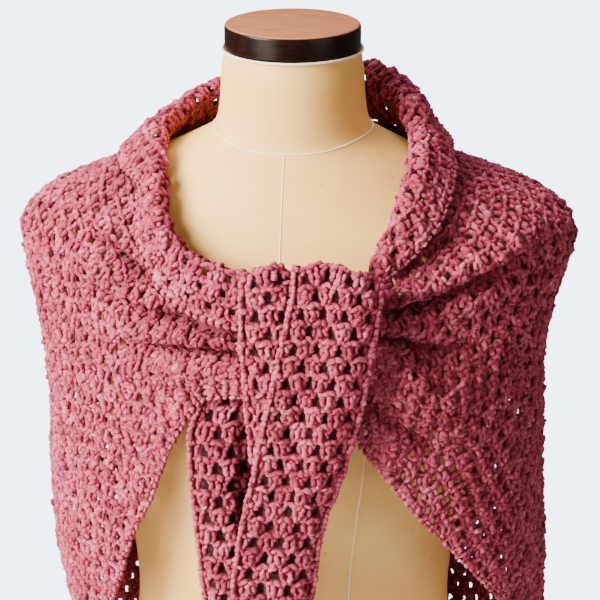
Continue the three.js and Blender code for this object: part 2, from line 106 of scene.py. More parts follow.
CAPE_NAMES = ("height", "left", "right", "front", "back", "power")
CAPE_ROWS = (
    (712, 70, 70, 66, 70, 2),
    (700, 76, 76, 68, 74, 2),
    (690, 83, 83, 70, 77, 2),
    (680, 91, 91, 73, 80, 1.95),
    (672, 102, 102, 78, 84, 1.9),
    (664, 118, 118, 83, 89, 1.85),
    (656, 133, 136, 88, 95, 1.8),
    (648, 149, 157, 93, 101, 1.75),
    (640, 169, 182, 98, 107, 1.7),
    (631, 190, 202, 102, 112, 1.7),
    (620, 206, 215, 107, 116, 1.7),
    (605, 214, 218, 112, 120, 1.7),
    (590, 213, 215, 117, 123, 1.75),
    (544, 204, 202, 127, 127, 1.85),
    (500, 196, 196, 133, 129, 2),
    (460, 193, 196, 134, 130, 2),
    (400, 193, 196, 130, 132, 2.1),
    (340, 190, 199, 124, 134, 2.1),
    (280, 180, 199, 118, 136, 2.1),
    (200, 173, 192, 115, 138, 2.1),
    (50, 170, 186, 112, 140, 2.1),
)

NECK_NAMES = ("bearing", "crease", "fold", "fold_stand", "edge", "edge_stand")
NECK_ROWS = (
    (-180, 674, 712, 25, 656, 18),
    (-160, 674, 706, 20, 657, 14),
    (-135, 674, 696, 14, 659, 10),
    (-105, 669, 686, 9.5, 661, 9.5),
    (-80, 660, 676, 9, 656, 9.5),
    (-62, 644, 665, 9, 650, 10),
    (-53, 630, 654, 9, 634, 10.5),
    (-48, 620, 643, 9, 618, 11),
    (-42, 609, 630, 9, 598, 11),
    (-33, 598, 616, 9, 579, 11),
    (-22, 590, 608, 9, 569, 11),
    (-10, 586, 603, 8, 565, 10.5),
    (11, 585, 600, 8, 565, 9),
    (28, 586, 603, 8, 588, 9),
    (33, 592, 611, 8.5, 596, 10.5),
    (38.5, 602, 624, 9, 604, 11),
    (43.6, 617, 637, 9, 613, 11),
    (50, 630, 650, 9, 623, 11),
    (60.6, 643, 664, 9, 641, 10.5),
    (77, 659, 677, 9, 658, 10),
    (90, 668, 687, 10, 664, 10),
    (105, 672, 700, 14, 664, 12),
    (135, 674, 709, 20, 661, 15),
    (160, 674, 713, 24, 658, 17),
    (180, 674, 712, 25, 656, 18),
)

HEM_NAMES = ("bearing", "height")
HEM_ROWS = (
    (-180, 55),
    (-150, 104),
    (-120, 170),
    (-90, 238),
    (-70, 282),
    (-58.3, 316),
    (-53.2, 344),
    (-47.6, 383),
    (-42, 413),
    (-35.3, 458),
    (-26.7, 498),
    (-22, 509),
    (-8, 513),
    (11, 512),
    (18, 502),
    (25, 484),
    (31, 461),
    (35.3, 445),
    (44, 413),
    (53, 383),
    (60.6, 356),
    (70.3, 320),
    (90, 262),
    (120, 180),
    (150, 108),
    (180, 55),
)

# Creases: three bearings, three heights, depth and half-width
CREASES = (
    ((-74, -50, -20), (590, 578, 570), 4, 34),
    ((-72, -57, -43), (621, 609, 592), -9, 7),
    ((-72, -50, -20), (606, 591, 575), 9, 10),
    ((-68, -42, -12), (586, 570, 559), -13, 7),
    ((-62, -36, -10), (556, 558, 554), 9, 9),
    ((-52, -30, -10), (537, 546, 543), -13, 7),
    ((-50, -30, -10), (518, 528, 534), 7, 10),
    ((80, 60, 44), (604, 592, 580), 4, 34),
    ((68, 54, 41), (634, 616, 600), -7, 7),
    ((84, 62, 38), (633, 613, 594), 14, 9),
    ((78, 57, 37), (616, 588, 575), -15, 9),
    ((74, 52, 37), (587, 574, 567), 8, 7),
    ((60, 47, 36), (538, 546, 556), -11, 9),
    ((46, 41, 36), (510, 528, 548), 7, 6),
    ((60, 50, 42), (500, 508, 516), 5, 12),
    ((54, 42, 28), (455, 480, 506), -4, 11),
)
CREASE_STEPS = 24
CREASE_GROWS = 0.35  # share of its line over which a crease grows to its depth
CREASES_FROM = (4, 16)  # distances under the collar between which creases begin
PINCH = 0.55  # how much deeper a crease is along its line
PINCH_WIDTH = 0.42  # width of that part, as a share of the crease's
LIP = 0.65  # how far the cloth above a crease rolls out over it
CREASE_SHADE_REACH = 5.0  # half-width of the painted shade along a crease
CREASE_SHADE_LEAN = 0.4  # how little the distance counts for that painted shade on the lower side of a crease
SINK = 2.5  # how far the pile sinks where the painted shade is darkest

# Painted shade, drawn as darker pile: for each millimetre of a crease's depth, under the
# collar, inside the collar's fold, and in the fold of the under end
CREASE_SHADE_TONE = 0.055
UNDER_COLLAR = 0.45
UNDER_COLLAR_REACH = 6  # mm below the collar's edge
IN_COLLAR = 0.4
IN_FOLD = 0.6
FOLD_ACROSS = (-34, -26)  # x between which that fold begins
CREASE_SHADE_GROWS = (0.05, 0.4)  # shares of a crease's line
COLLAR_FOLD = (0.55, 0.75)  # shares of the way from the collar's edge to its crease

# Soft folds where the cloth hangs free: bearing, half-width and depth
HANGING_FOLDS = (
    (-171, 9, 7),
    (-154, 9, -6),
    (-136, 10, 6),
    (-116, 10, -6),
    (-96, 11, 5),
    (97, 11, 5),
    (118, 10, -6),
    (137, 10, 7),
    (157, 9, -6),
    (173, 8, 5),
)

# The tied ends, section by section. A section's place is its number, which the rows leave
# out
TAIL_NAMES = ("place", "height", "forward", "left", "right")
FRONT_TAIL = (
    (586, 122, 22, 60),
    (601, 126, 20, 67),
    (617, 134, 18, 75),
    (622, 142, 17, 78),
    (612, 149, 18, 78),
    (582, 151, 13, 76),
    (557, 152, 8, 72),
    (529, 152, 2, 68),
    (487, 151, -7, 59),
    (446, 149, -15, 47),
    (404, 147, -24, 34),
    (351, 144, -30, 27),
    (290, 141, -31, 20),
    (230, 138, -25, 9),
    (180, 136, -14, -4),
)
TAIL_PLEAT = (
    (586, 122, -2, 16),
    (601, 125, -4, 16),
    (616, 134, -17, 13),
    (622, 139, -20, 12),
    (611, 143, -21, 14),
    (585, 143, -22, 19),
    (561, 143, -22, 16),
    (530, 142, -19, 10),
    (498, 141, -17, 4),
    (461, 139, -14, -4),
)
UNDER_TAIL = (
    (514, 121, -52, -6),
    (498, 121, -58, -2),
    (476, 131, -64, -2),
    (450, 133, -63, -4),
    (384, 134, -57, -8),
    (341, 133, -53, -12),
    (280, 131, -48, -18),
    (225, 130, -41, -25),
)
ACROSS_NAMES = ("share", "forward", "fall")
ACROSS_FRONT = (
    (0, 0, 6),
    (0.12, 1.5, 3),
    (0.35, -1.5, 0),
    (0.6, 1.5, 3),
    (0.8, -1, 7),
    (0.9, -4, 11),
    (1, -10, 16),
)
ACROSS_PLEAT = (
    (0, -2, 16),
    (0.15, 1, 10),
    (0.4, 2.5, 3),
    (0.65, 2.5, 0),
    (0.85, 0.5, 4),
    (1, -2, 11),
)
ACROSS_UNDER = (
    (0, -4, 0),
    (0.2, 1, 0),
    (0.45, 1.5, 0),
    (0.65, -6, 0),
    (1, -13, 0),
)
CREST_SPREAD = 1.6  # sections over which the top of the knot falls away
SHAPED = (1, 3)  # sections between which an end takes its shape across
LEAVES_CAPE = 0.08  # share of its length over which an end leaves the cape


def smooth_curve(rows, column):
    """Smooth curve without overshoot through one column of a table, read against its first."""
    order = sorted(rows)
    at = np.array([row[0] for row in order], float)
    value = np.array([row[column] for row in order], float)
    slope = np.diff(value) / np.diff(at)
    tangent = np.zeros(len(at))
    tangent[0], tangent[-1] = slope[0], slope[-1]
    product = slope[:-1] * slope[1:]
    total = np.where(product > 0, slope[:-1] + slope[1:], 1.0)
    tangent[1:-1] = np.where(product > 0, 2 * product / total, 0.0)

    def read(x):
        x = np.clip(x, at[0], at[-1])
        i = np.clip(np.searchsorted(at, x, side="right") - 1, 0, len(at) - 2)
        step = at[i + 1] - at[i]
        t = (x - at[i]) / step
        rise = t * t * (3 - 2 * t)
        leave = t * (1 - t) * (1 - t)
        arrive = t * t * (t - 1)
        bend = step * (leave * tangent[i] + arrive * tangent[i + 1])
        return value[i] + (value[i + 1] - value[i]) * rise + bend

    return read


def curves(names, rows):
    """Curves by column name for all columns of a table but the first."""
    return {name: smooth_curve(rows, i) for i, name in enumerate(names) if i}


FORM = curves(FORM_NAMES, FORM_ROWS)
CAPE = curves(CAPE_NAMES, CAPE_ROWS)
NECK = curves(NECK_NAMES, NECK_ROWS)
HEM = curves(HEM_NAMES, HEM_ROWS)["height"]


def ease(x, low, high):
    """Smooth step from 0 at low to 1 at high."""
    t = np.clip((x - low) / (high - low), 0, 1)
    return t * t * (3 - 2 * t)


def named_bearing(bearing):
    """The same bearing between -180 and 180."""
    return (np.asarray(bearing, float) + 180) % 360 - 180


def section_radius(bearing, side, depth, power):
    """Radius of a rounded section. A higher power is squarer."""
    angle = np.radians(bearing)
    across = np.abs(np.sin(angle)) / side
    along = np.abs(np.cos(angle)) / depth
    return (across ** power + along ** power) ** (-1 / power)


def form_radius(bearing, height):
    """Radius of the form's cover."""
    front = np.cos(np.radians(bearing)) > 0
    depth = np.where(front, FORM["front"](height), FORM["back"](height))
    return section_radius(bearing, FORM["side"](height), depth, FORM["power"](height))


def outside_radius(radius_at, bearing, height, distance):
    """Radius of the surface that lies a distance outside another, along its slope."""
    near = 1.0
    radius = radius_at(bearing, height)
    rise = (radius_at(bearing, height + near) - radius_at(bearing, height - near)) / (2 * near)
    turn = radius_at(bearing + near, height) - radius_at(bearing - near, height)
    around = turn / (2 * math.radians(near) * radius)
    return radius + distance * np.sqrt(1 + rise * rise + around * around)


def plain_cape_radius(bearing, height):
    """The cape without creases and folds, resting on the form where it would cut in."""
    bearing = named_bearing(bearing)
    front = np.cos(np.radians(bearing)) > 0
    side = np.where(bearing > 0, CAPE["right"](height), CAPE["left"](height))
    depth = np.where(front, CAPE["front"](height), CAPE["back"](height))
    power = np.where(front, CAPE["power"](height), BACK_POWER)
    resting = outside_radius(form_radius, bearing, height, CLOTH / 2 + REST)
    return np.maximum(section_radius(bearing, side, depth, power), resting)


def crease_lines(bearing, height):
    """For each crease its depth, its half-width, how far away its line is, how far along the
    line the nearest place lies, and how far above it this place is."""
    radius = plain_cape_radius(bearing, height)
    share = np.linspace(0, 1, CREASE_STEPS + 1)
    for ends, rises, depth, width in CREASES:
        path = []
        for three in (ends, rises):
            control = 2 * three[1] - (three[0] + three[2]) / 2
            first = three[0] + (control - three[0]) * share
            last = control + (three[2] - control) * share
            path.append(first + (last - first) * share)
        nearest = np.full(radius.shape, np.inf)
        place, above = np.zeros(radius.shape), np.zeros(radius.shape)
        for step, along, up in zip(share, *path):
            across = np.radians(along - bearing) * radius
            distance = np.hypot(across, up - height)
            closer = distance < nearest
            nearest = np.where(closer, distance, nearest)
            place = np.where(closer, step, place)
            above = np.where(closer, height - up, above)
        yield depth, width, nearest, place, above


def crease_depth(bearing, height):
    """Height of the creases that fan out from the knot."""
    total = np.zeros(np.broadcast(bearing, height).shape)
    for depth, width, nearest, place, above in crease_lines(bearing, height):
        profile = np.exp(-((nearest / width) ** 2))
        if depth < 0:
            aside = (nearest / width) ** 2
            profile += PINCH * np.exp(-((nearest / (PINCH_WIDTH * width)) ** 2))
            profile -= LIP * ease(above, 0, width / 2) * aside * np.exp(1 - aside)
        total += depth * ease(place, 0, CREASE_GROWS) * profile
    covered = np.minimum(NECK["edge"](bearing), NECK["crease"](bearing))
    return total * ease(covered - height, *CREASES_FROM)


def hanging_depth(bearing, height):
    """Height of the soft folds where the cloth hangs free."""
    spread = ease(FREE_FROM - height, 0, FREE_FROM - FREE_FULL)
    total = np.zeros(np.broadcast(bearing, height).shape)
    for middle, width, depth in HANGING_FOLDS:
        away = np.abs(middle - bearing)
        turned = np.minimum(away, 360 - away)
        total += depth * spread * np.exp(-((turned / width) ** 2))
    return total


def cape_radius(bearing, height):
    """Radius of the middle of the cape's cloth."""
    bearing = named_bearing(bearing)
    radius = plain_cape_radius(bearing, height)
    radius = radius + crease_depth(bearing, height) + hanging_depth(bearing, height)
    resting = outside_radius(form_radius, bearing, height, CLOTH / 2 + REST)
    return np.maximum(radius, resting)


def at_bearing(bearing, radius, height):
    """Points from bearings, radii and heights."""
    angle = np.radians(bearing)
    return np.stack([radius * np.sin(angle), -radius * np.cos(angle), height], -1)


def unit(vectors):
    """The same vectors, one unit long."""
    return vectors / np.maximum(np.linalg.norm(vectors, axis=-1, keepdims=True), 1e-12)


def run(points, axis=0):
    """Distance from the first of a line of points to each of them."""
    spans = np.linalg.norm(np.diff(points, axis=axis), axis=-1)
    start = np.zeros((*spans.shape[:-1], 1))
    return np.concatenate([start, np.cumsum(spans, -1)], -1)


class Cloth:
    """A stretch of cloth as columns of points, read by column and by distance down it."""

    STEP = 2.5  # between the points that are kept down a column
    NEAR_COLUMNS = 0.6  # how far to each side the directions are read
    NEAR_DOWN = 1.6

    def __init__(self, points, outward, even=True):
        lengths = run(points, 1)
        if not even:
            lengths = np.repeat(lengths.mean(0, keepdims=True), len(points), 0)
        self.length = lengths[:, -1]
        self.count = len(points)
        rows = int(self.length.max() / self.STEP) + 2
        wanted = np.arange(rows) * self.STEP
        self.table = np.empty((self.count, rows, 3))
        for i in range(self.count):
            for axis in range(3):
                self.table[i, :, axis] = np.interp(wanted, lengths[i], points[i, :, axis])
        self.outward = outward

    def at(self, column, down):
        column = np.clip(column, 0, self.count - 1.001)
        place = np.clip(np.asarray(down) / self.STEP, 0, self.table.shape[1] - 1.001)
        i, j = column.astype(int), place.astype(int)
        a, b = (column - i)[..., None], (place - j)[..., None]
        near = self.table[i, j] * (1 - b) + self.table[i, j + 1] * b
        far = self.table[i + 1, j] * (1 - b) + self.table[i + 1, j + 1] * b
        return near * (1 - a) + far * a

    def directions(self, column, down):
        """Unit vectors along the row, down the column and out of the cloth."""
        aside, below = self.NEAR_COLUMNS, self.NEAR_DOWN
        side = self.at(column + aside, down) - self.at(column - aside, down)
        fall = self.at(column, down + below) - self.at(column, down - below)
        along = unit(side)
        out = unit(np.cross(along, fall)) * self.outward
        return along, unit(np.cross(out, along)) * self.outward, out

    def row(self, down):
        """Distance along the row that lies this far down, at each column."""
        columns = np.arange(self.count)
        return run(self.at(columns.astype(float), np.full(self.count, float(down))))

    def length_at(self, column):
        return np.interp(column, np.arange(self.count), self.length)


def cape_cloth(from_bearing, to_bearing, outward, columns=300, rows=260, spaced_at=500.0):
    """Half of the cape, from the front to the middle of the back, its columns evenly spaced
    at one height."""
    fine = np.linspace(from_bearing, to_bearing, 1441)
    distance = run(at_bearing(fine, plain_cape_radius(fine, spaced_at), 0 * fine))
    even = np.interp(np.linspace(0, distance[-1], columns), distance, fine)
    bearing = even[:, None]
    share = np.linspace(0, 1, rows)[None, :]
    top = NECK["crease"](named_bearing(bearing))
    height = top + (HEM(named_bearing(bearing)) - top) * share
    bearing = bearing + 0 * share
    cloth = Cloth(at_bearing(bearing, cape_radius(bearing, height), height), outward)
    cloth.bearing = even
    return cloth


def on_cape(bearing, height, stand):
    """Place, upward and outward directions on the cape in the upright plane at a bearing."""
    near = 0.5
    radius = plain_cape_radius(bearing, height)
    rise = plain_cape_radius(bearing, height + near) - plain_cape_radius(bearing, height - near)
    up = unit(np.stack([rise, 0 * rise + 2 * near], -1))
    out = np.stack([up[..., 1], -up[..., 0]], -1)
    return np.stack([radius, height], -1) + out * np.asarray(stand)[..., None], up, out


def bend(start, leaving, end, arriving, t):
    """Place on a smooth bend between two points with given directions."""
    pull = np.linalg.norm(end - start, axis=-1, keepdims=True) * PULL
    rise = t * t * (3 - 2 * t)
    return (start + (end - start) * rise + leaving * pull * t * (1 - t) * (1 - t)
            + arriving * pull * t * t * (t - 1))


def collar_cloth(from_bearing, to_bearing, columns=360, rows=80):
    """The folded collar, its rows counted from the loose edge, over the fold, to the crease."""
    bearing = np.linspace(from_bearing, to_bearing, columns)
    at = named_bearing(bearing)
    crease, crease_up, _ = on_cape(at, NECK["crease"](at), 0 * at)
    fold, _, fold_out = on_cape(at, NECK["fold"](at), NECK["fold_stand"](at))
    edge, edge_up, _ = on_cape(at, NECK["edge"](at), NECK["edge_stand"](at))
    crease = crease + crease_up * SEAM
    points = []
    for v in np.linspace(1, 0, rows):
        if v < COLLAR_SHARE_INSIDE:
            flat = bend(crease, crease_up, fold, fold_out, v / COLLAR_SHARE_INSIDE)
        else:
            share = (v - COLLAR_SHARE_INSIDE) / (1 - COLLAR_SHARE_INSIDE)
            flat = bend(fold, fold_out, edge, -edge_up, share)
        points.append(at_bearing(at, flat[:, 0], flat[:, 1]))
    cloth = Cloth(np.stack(points, 1), 1)
    cloth.bearing = bearing
    return cloth


def tail_cloth(rows, across_rows, side, columns=60, steps=240):
    """A tied end, its rows running across it. It begins on the cape, or under it."""
    rows = [(place, *row) for place, row in enumerate(rows)]
    read = curves(TAIL_NAMES, rows)
    across = curves(ACROSS_NAMES, across_rows)
    crest = max(rows, key=lambda row: row[1])[0]
    share = np.linspace(0, 1, columns)[:, None]
    t = np.linspace(0, 1, steps)[None, :]
    place = t * (len(rows) - 1)
    left, right = read["left"](place), read["right"](place)
    x = left + (right - left) * share
    near_crest = np.exp(-(((place - crest) / CREST_SPREAD) ** 2))
    height = read["height"](place) - across["fall"](share) * near_crest
    forward = read["forward"](place)
    free = forward + across["forward"](share) * ease(place, *SHAPED)
    bearing = np.degrees(np.arctan2(x, forward + 0 * x))
    radius = outside_radius(cape_radius, bearing, height, side * SEAT)
    seated = np.sqrt(np.maximum(radius * radius - x * x, 0))
    y = seated + (free - seated) * ease(t, 0, LEAVES_CAPE)
    return Cloth(np.stack([x, -y, height], -1), -1, even=False)


# Meshes

def new_object(name, mesh):
    obj = bpy.data.objects.new(name, mesh)
    bpy.context.scene.collection.objects.link(obj)
    return obj


def mesh_of(shape, name):
    """The mesh of a finished bmesh."""
    mesh = bpy.data.meshes.new(name)
    shape.to_mesh(mesh)
    shape.free()
    return mesh


def array_mesh(name, points, faces, tone):
    """Smooth mesh from points in millimetres, faces with equal numbers of sides, and how
    light each point is."""
    mesh = bpy.data.meshes.new(name)
    mesh.vertices.add(len(points))
    mesh.vertices.foreach_set("co", (points * MM).astype(np.float32).ravel())
    sides = faces.shape[1]
    mesh.loops.add(faces.size)
    mesh.loops.foreach_set("vertex_index", faces.astype(np.int32).ravel())
    mesh.polygons.add(len(faces))
    mesh.polygons.foreach_set("loop_start", np.arange(0, faces.size, sides, dtype=np.int32))
    mesh.polygons.foreach_set("use_smooth", np.ones(len(faces), bool))
    layer = mesh.attributes.new("tone", "FLOAT", "POINT")
    layer.data.foreach_set("value", tone.astype(np.float32))
    mesh.update(calc_edges=True)
    mesh.validate()
    return mesh


def skin(name, rings, closed=False):
    """Smooth body through equal rings of points in millimetres, from a cylinder cut into as
    many rings. A closed one has no ends and runs back into its first ring."""
    if closed:
        rings = np.concatenate([rings, rings[:1]])
    last, sides = len(rings) - 1, rings.shape[1]
    shape = bmesh.new()
    bmesh.ops.create_cone(shape, cap_ends=not closed, segments=sides, radius1=1, radius2=1,
                          depth=last)
    upright = [e for e in shape.edges if abs(e.verts[0].co.z - e.verts[1].co.z) > 0.5]
    bmesh.ops.subdivide_edges(shape, edges=upright, cuts=last - 1, use_grid_fill=True)
    for vert in shape.verts:
        turn = math.atan2(vert.co.y, vert.co.x) / math.tau
        vert.co = rings[round(vert.co.z + last / 2), round(turn * sides) % sides] * MM
    bmesh.ops.remove_doubles(shape, verts=shape.verts[:], dist=1e-6)
    bmesh.ops.recalc_face_normals(shape, faces=shape.faces[:])
    for face in shape.faces:
        face.smooth = len(face.verts) == 4
    return mesh_of(shape, name)


def form_rings(heights, insets, sides=144):
    """Rings of points round the form, each drawn in by its inset. Under the form's foot they
    keep its section."""
    bearing = np.arange(sides) * 360 / sides
    radius = form_radius(named_bearing(bearing), np.maximum(heights, FORM_FOOT)[:, None])
    radius = radius - np.asarray(insets)[:, None]
    return at_bearing(bearing + 0 * radius, radius, heights[:, None] + 0 * radius)


def seam_tube(name, points, radius, sides=8):
    """Thin tube along a line of points, for seams and piping."""
    closed = np.linalg.norm(points[0] - points[-1]) < 0.5
    if closed:
        points = points[:-1]
    ahead = np.roll(points, -1, 0)
    behind = np.roll(points, 1, 0)
    if not closed:
        ahead[-1], behind[0] = points[-1], points[0]
    along = unit(ahead - behind)
    out = unit(points * np.array([1, 1, 0]))
    out = unit(out - along * np.sum(out * along, 1, keepdims=True))
    side = np.cross(along, out)
    angle = np.arange(sides)[None, :, None] * math.tau / sides
    around = out[:, None] * np.cos(angle) + side[:, None] * np.sin(angle)
    return skin(name, points[:, None] + radius * around, closed)


# Crochet

RAGGED = 0.34  # how uneven a tuft is
PILE_SHADE_TONE = 0.42  # painted shade on the pile: how much darker its roots and lighter its tips are drawn
PILE_SHADE_MIDDLE = 0.45  # how far up a tuft that painted shade gives way to the tuft's own tone

# One cluster: three upright posts of three tufts each, under loops worked into the row
# above. Place across in posts and down the cell as a share of it, then turn, length, width,
# depth and how far the tuft stands out of the cloth
CLUSTER = (
    (-1.24, 0.26, 66, 8.0, 4.8, 4.4, -0.3),
    (-0.95, 0.55, 96, 8.4, 4.8, 4.8, 0.4),
    (-0.62, 0.84, 66, 7.6, 4.5, 4.4, -0.3),
    (0.00, 0.30, 110, 8.4, 5.0, 5.0, 0.9),
    (0.05, 0.56, 72, 8.8, 5.2, 5.4, 1.6),
    (0.00, 0.84, 106, 8.2, 4.8, 4.8, 0.8),
    (1.24, 0.26, 114, 8.0, 4.8, 4.4, -0.3),
    (0.95, 0.55, 84, 8.4, 4.8, 4.8, 0.4),
    (0.62, 0.84, 114, 7.6, 4.5, 4.4, -0.3),
    (-1.45, 0.05, 20, 8.6, 4.2, 4.8, 0.4),
    (-0.55, 0.09, 156, 8.8, 4.5, 5.2, 1.4),
    (0.45, 0.05, 22, 8.8, 4.5, 5.2, 1.4),
    (1.40, 0.09, 158, 8.6, 4.2, 4.8, 0.4),
)
POST_SPREAD = 0.27  # distance between posts, as a share of the cluster's width
TAIL_SPREAD = 0.255  # the same on the tied ends

# How much the tufts differ by hand
TONES = (0.34, 0.6)
TONE_JITTER = 0.1
LIFT_JITTER = 0.4
PLACE_JITTER = 0.36
TURN_JITTER = 11
SIZES = (0.88, 1.12)

# Holes: width, and top and foot as shares of the row
CAPE_HOLE = (4.2, 0.42, 0.84)
TAIL_HOLE = (2.4, 0.4, 0.82)
HOLLOW = 1.2  # depth of a hole that the layer behind closes
GROUND_STEP = 4.2  # width of the cells of the shell under the yarn
GROUND_TONE = 0.5
THINNEST = 0.4  # height under which a cell of the shell is left out
WIDTH_AT = 0.4  # share of the way down at which a stretch's width is taken

# How far the first row lies under the edge, and how near an edge tufts may stand
CAPE_FIRST_ROW = 4.0
COLLAR_FIRST_ROW = 3.5
TAIL_FIRST_ROW = 2.0
EDGE_MARGIN = 1.6
NEAR_EDGE = 3.0  # where beside an edge its outward direction is read

# How far past the end of its row a cluster may stand, and how far inside it a hole must lie
CLUSTER_OVER = 0.45
HOLE_INSIDE = 0.2

# Edging: a tuft's size, its slant, and how the tufts differ
EDGE_TUFT = np.array([7.0, 4.2, 5.0])
EDGE_TONE = (0.55, 0.12)
EDGE_SIZES = (0.9, 1.1)
EDGE_JITTER = 0.25
EDGE_TURN_JITTER = 6
SLANT = 22.0
ASIDE_PER_SLANT = 1 / 16

# The edging of the tied ends is finer and straighter, and rolls forwards
TAIL_EDGE = {"stand": 2.6, "slant": 8.0}
TAIL_EDGE_PITCH = 0.75


def tuft_template():
    """Points and triangles of one tuft of chenille pile, from Blender's own sphere."""
    ball = bmesh.new()
    bmesh.ops.create_icosphere(ball, subdivisions=1, radius=1.0)
    ball.verts.index_update()
    points = np.array([v.co[:] for v in ball.verts])
    faces = np.array([[v.index for v in f.verts] for f in ball.faces])
    ball.free()
    return points[:, [2, 0, 1]], faces


class Tufts:
    """Tufts of chenille collected for one joined mesh."""

    def __init__(self, rng):
        self.rng = rng
        self.parts = []

    def add(self, place, along, down, out, angle, size, lift, tone):
        """One tuft at each place. size is its length, width and depth."""
        turned = np.radians(angle)[:, None]
        first = unit(along * np.cos(turned) + down * np.sin(turned))
        second = np.cross(out, first)
        centre = place + out * lift[:, None]
        self.parts.append((centre, first, second, out, size / 2, tone))

    def mesh(self, name):
        shape, faces = tuft_template()
        centre, first, second, third, half, tone = (
            np.concatenate([part[i] for part in self.parts]) for i in range(6)
        )
        count = len(centre)
        wobble = 1 + RAGGED * self.rng.uniform(-1, 1, (count, len(shape), 1))
        local = shape[None] * half[:, None, :] * wobble
        points = (centre[:, None] + local[..., 0:1] * first[:, None]
                  + local[..., 1:2] * second[:, None] + local[..., 2:3] * third[:, None])
        index = faces[None] + (np.arange(count) * len(shape))[:, None, None]
        # Painted shade between the tufts: darker round the middle, lighter at the tips
        pile_shade = np.abs(shape[None, :, 2]) - PILE_SHADE_MIDDLE
        tones = np.clip(tone[:, None] + PILE_SHADE_TONE * pile_shade, 0, 1)
        return array_mesh(name, points.reshape(-1, 3), index.reshape(-1, 3), tones.ravel())


def laid_flat(cloth, low, high, every=10, steps=41):
    """Width and length of a stretch of cloth laid flat, and its area, in metres. The width
    is the widest of rows some millimetres apart, and the area is added up in steps."""
    columns = np.arange(low, high + 1)
    depth = int(cloth.length_at(columns).max())
    widths = [float(np.diff(cloth.row(down)[[low, high]])[0]) for down in range(0, depth, every)]
    down = np.linspace(0, 1, steps)[None, :] * cloth.length_at(columns)[:, None]
    points = cloth.at(columns[:, None] + 0.0 * down, down)
    sides = points[1:, :-1] - points[:-1, :-1], points[:-1, 1:] - points[:-1, :-1]
    area = float(np.linalg.norm(np.cross(*sides), axis=2).sum()) * MM * MM
    return (max(widths) * MM, depth * MM), area


def no_shade(place, share):
    """The pile is nowhere darker."""
    return 0.0


